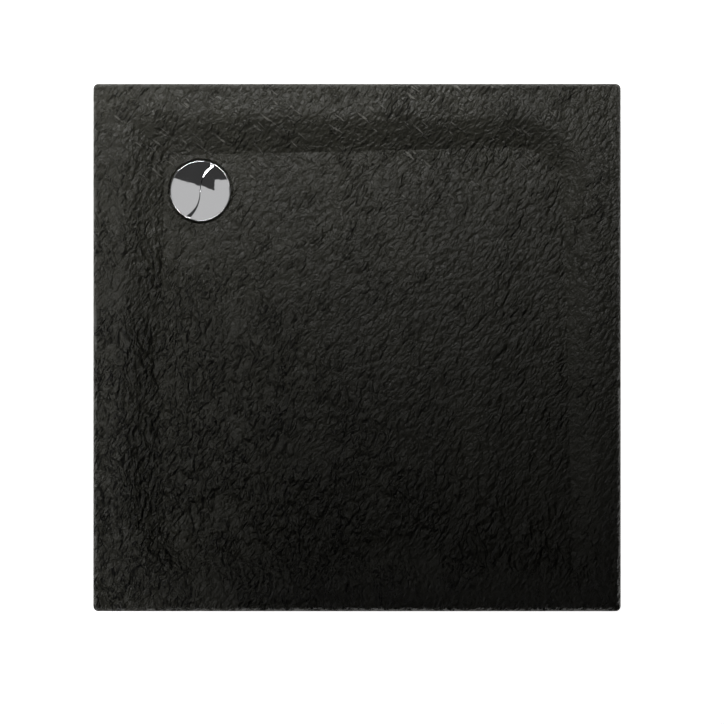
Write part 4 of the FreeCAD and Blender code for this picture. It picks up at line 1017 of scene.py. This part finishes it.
class BuildSealingRing(bpy.types.Operator):
    """Build the round ring that seals the dip tube"""

    bl_idname = "tray.build_sealing_ring"
    bl_label = "Sealing Ring"

    def execute(self, context):
        turn = full_turn(20)
        points, faces = lathe(RING_MIDDLE + np.cos(turn), RING_HEIGHT + np.sin(turn), 128)
        points = points + np.array([*DRAIN, 0.0])
        add_piece("sealing_ring", points, [faces], rubber_finish(), "dip_tube", ["cup_ring"])
        return {"FINISHED"}


class FinishCarriedParts(bpy.types.Operator):
    """Give the parts that keep their CAD shape their finishes"""

    bl_idname = "tray.finish_carried_parts"
    bl_label = "Laminate, Board, Waste and Feet"

    def execute(self, context):
        finishes = {
            "glass_fibre": fibre_finish(),
            "chipboard": chipboard_finish(),
            "seal_rubber": rubber_finish(),
            "grey_plastic": moulded_finish("grey_polypropylene", (0.27, 0.28, 0.29), 0.38, 0.0008, 0.00004),
            "white_plastic": moulded_finish("white_polypropylene", (0.78, 0.78, 0.75), 0.3, 0.0009, 0.00004),
            "foot_plastic": moulded_finish("black_nylon", (0.03, 0.03, 0.033), 0.46, 0.0007, 0.00008),
            "steel": steel_finish(),
        }
        slots = {part["node"]: part["material_slot"] for part in frame["record"]["subparts"]}
        for name, part in frame["nodes"].items():
            if slots[name] in finishes:
                part.data.materials.clear()
                part.data.materials.append(finishes[slots[name]])
        return {"FINISHED"}


# The stage, in metres: the back lamps lean away from the tray, so their light falls off steeply.
BACK_LAMP_WAY, BACK_LAMP_SIZE = (0, 0.616, -0.788), (0.55, 0.35)
LOW_LAMP_SHARE, CEILING_LIGHT, SKY_LIGHT = 0.14, 0.04, 0.004
SIDE_LAMP_REACH, SIDE_LAMP_HEIGHT = 1.3, 0.085
CARD_HEIGHT = 3.2
CARD_OUTLINE = ((-1.5, -0.15), (-1.5, 1.08), (-0.262, 0.67), (-0.262, 0.97), (0.12, 0.97), (0.12, -0.15))
FLOOR_HALF, FLOOR_LEVEL, FLOOR_GLOW = 8.0, -0.0002, 0.96
# Heights of a reflected direction between which the white horizon fades into the dim sky.
HORIZON = (0.04, 0.16)
# The photograph's view: place over the tray, sensor width, and the tray's and photo's width in pixels.
CAMERA_PLACE, SENSOR, TRAY_PIXELS, PHOTO_PIXELS = (0.0095, -0.0274), 36.0, 529, 724


class BuildStage(bpy.types.Operator):
    """Set up the pale floor, the lamps, the world and the camera"""

    bl_idname = "tray.build_stage"
    bl_label = "Stage"

    def execute(self, context):
        stage = context.scene.stage_sizes
        scene = context.scene
        scene.view_settings.view_transform = "Standard"
        self.add_floor()
        self.light_world(scene)
        back, left = stage.back_light, stage.left_light
        for side, x, share in (("left", -0.65, 1.0), ("middle", 0.0, 0.86), ("right", 0.65, 0.2)):
            self.add_lamp(f"back_lamp_{side}", (x, 0.95, 1.3), BACK_LAMP_WAY, BACK_LAMP_SIZE, share * back)
        self.add_lamp("left_lamp", (-0.9, -0.45, 1.0), (-0.707, 0, -0.707), (0.35, 0.4), left)
        low = LOW_LAMP_SHARE * left
        self.add_lamp("left_low_lamp", (-0.95, 0.15, 0.5), (0.55, 0, -0.35), (0.3, 0.3), low)
        self.add_lamp("front_lamp", (0.0, -3.0, 2.6), (0, 3.4, -2.45), (2.2, 1.0), stage.front_light)
        self.add_lamp("ceiling_lamp", (0.5, 0.0, 3.25), (0, 0, -1), (3.9, 3.0), CEILING_LIGHT)
        for way in ((1, 0, 0), (-1, 0, 0), (0, 1, 0), (0, -1, 0)):
            place = (-SIDE_LAMP_REACH * way[0], -SIDE_LAMP_REACH * way[1], SIDE_LAMP_HEIGHT)
            self.add_lamp("side_lamp", place, way, (2.2, 0.16), stage.side_light)
        self.add_window_card(stage.window_light)
        camera = add_object("camera", bpy.data.cameras.new("camera"))
        camera.location = (*CAMERA_PLACE, stage.camera_height)
        camera.data.sensor_width = SENSOR
        camera.data.lens = SENSOR * TRAY_PIXELS / PHOTO_PIXELS * (stage.camera_height - RIM_TOP * MM)
        camera.data.clip_end = 50.0
        scene.camera = camera
        return {"FINISHED"}

    def add_lamp(self, name, place, way, size, brightness):
        """A rectangular lamp that shines along a direction; its power is pi * area * brightness."""
        lamp = bpy.data.lights.new(name, "AREA")
        lamp.shape = "RECTANGLE"
        lamp.size, lamp.size_y = size
        lamp.energy = math.pi * size[0] * size[1] * brightness
        holder = add_object(name, lamp)
        holder.location = place
        holder.rotation_euler = type(holder.location)(way).to_track_quat("-Z", "Y").to_euler()

    def add_window_card(self, brightness):
        """A bright card overhead with one slanting and one straight upper edge, which the cover mirrors."""
        finish, tree = new_finish("window_card")
        white = node(tree, "Emission", {"Color": (1, 1, 1, 1), "Strength": brightness})
        tree.links.new(white.outputs[0], tree.nodes["Material Output"].inputs["Surface"])
        mesh = bpy.data.meshes.new("window_card")
        corners = [(x, y, CARD_HEIGHT) for x, y in CARD_OUTLINE]
        mesh.from_pydata(corners, [], [list(range(len(corners)))])
        mesh.materials.append(finish)
        card = add_object("window_card", mesh)
        card.visible_camera = False

    def add_floor(self):
        """A pale sheet: it looks white to the camera and in reflections, and takes a faint shadow."""
        finish, tree = new_finish("pale_floor", Base_Color=(0.8, 0.8, 0.8, 1), Roughness=0.8)
        pale = tree.nodes["Principled BSDF"].outputs[0]
        path = node(tree, "LightPath").outputs
        seen = calculate(tree, "MAXIMUM", path["Is Camera Ray"], path["Is Glossy Ray"])
        seen = calculate(tree, "MAXIMUM", seen, path["Is Transmission Ray"])
        white = node(tree, "Emission", {"Color": (1, 1, 1, 1), "Strength": FLOOR_GLOW})
        both = node(tree, "AddShader", {0: pale, 1: white.outputs[0]})
        mixed = node(tree, "MixShader", {0: seen, 1: pale, 2: both.outputs[0]})
        tree.links.new(mixed.outputs[0], tree.nodes["Material Output"].inputs["Surface"])
        side = np.linspace(-FLOOR_HALF, FLOOR_HALF, 17)
        x, y = np.meshgrid(side, side, indexing="ij")
        mesh = bpy.data.meshes.new("floor")
        number = np.arange(x.size).reshape(x.shape)
        faces = np.stack([number[:-1, :-1], number[1:, :-1], number[1:, 1:], number[:-1, 1:]], axis=-1)
        points = np.stack([x, y, np.full(x.shape, FLOOR_LEVEL)], axis=-1)
        mesh.from_pydata(points.reshape(-1, 3), [], faces.reshape(-1, 4))
        mesh.materials.append(finish)
        add_object("floor", mesh)

    def light_world(self, scene):
        """A dim sky; the camera sees white past the floor, and reflections see it low down."""
        world = bpy.data.worlds.new("studio")
        world.use_nodes = True
        tree = world.node_tree
        path = node(tree, "LightPath").outputs
        way = node(tree, "TexCoord").outputs["Generated"]
        height = node(tree, "SeparateXYZ", {"Vector": way}).outputs["Z"]
        low_down = multiply(tree, path["Is Glossy Ray"], spread(tree, height, *HORIZON, 1.0, 0.0))
        share = calculate(tree, "MAXIMUM", path["Is Camera Ray"], low_down)
        sky = tree.nodes["Background"]
        sky.inputs["Color"].default_value = (1, 1, 1, 1)
        sky.inputs["Strength"].default_value = SKY_LIGHT
        white = node(tree, "Background", {"Color": (1, 1, 1, 1), "Strength": 1.0})
        mixed = node(tree, "MixShader", {0: share, 1: sky.outputs[0], 2: white.outputs[0]})
        tree.links.new(mixed.outputs[0], tree.nodes["World Output"].inputs["Surface"])
        scene.world = world


class TrayPanel(bpy.types.Panel):
    """Lists the tray's pieces and their sizes"""

    bl_idname = "VIEW3D_PT_shower_tray"
    bl_label = "Shower Tray"
    bl_space_type = "VIEW_3D"
    bl_region_type = "UI"
    bl_category = "Shower Tray"

    def draw(self, context):
        for name, group in SETTINGS.items():
            box = self.layout.box()
            for key in group.__annotations__:
                box.prop(getattr(context.scene, name), key)
        for operator in OPERATORS:
            self.layout.operator(operator.bl_idname)


SETTINGS = {"tray_sizes": TraySettings, "cover_sizes": CoverSettings, "stage_sizes": StageSettings}
OPERATORS = (
    FinishCarriedParts,
    BuildShell,
    BuildCover,
    BuildSealingRing,
    BuildScrews,
    BuildRods,
    BuildStage,
)
CLASSES = (*SETTINGS.values(), *OPERATORS, TrayPanel)


def register():
    for item in CLASSES:
        bpy.utils.register_class(item)
    for name, group in SETTINGS.items():
        setattr(bpy.types.Scene, name, bpy.props.PointerProperty(type=group))


def unregister():
    for name in SETTINGS:
        delattr(bpy.types.Scene, name)
    for item in reversed(CLASSES):
        bpy.utils.unregister_class(item)


def main():
    register()
    for operator in OPERATORS:
        family, action = operator.bl_idname.split(".")
        getattr(getattr(bpy.ops, family), action)()


if __name__ == "__main__":
    main()
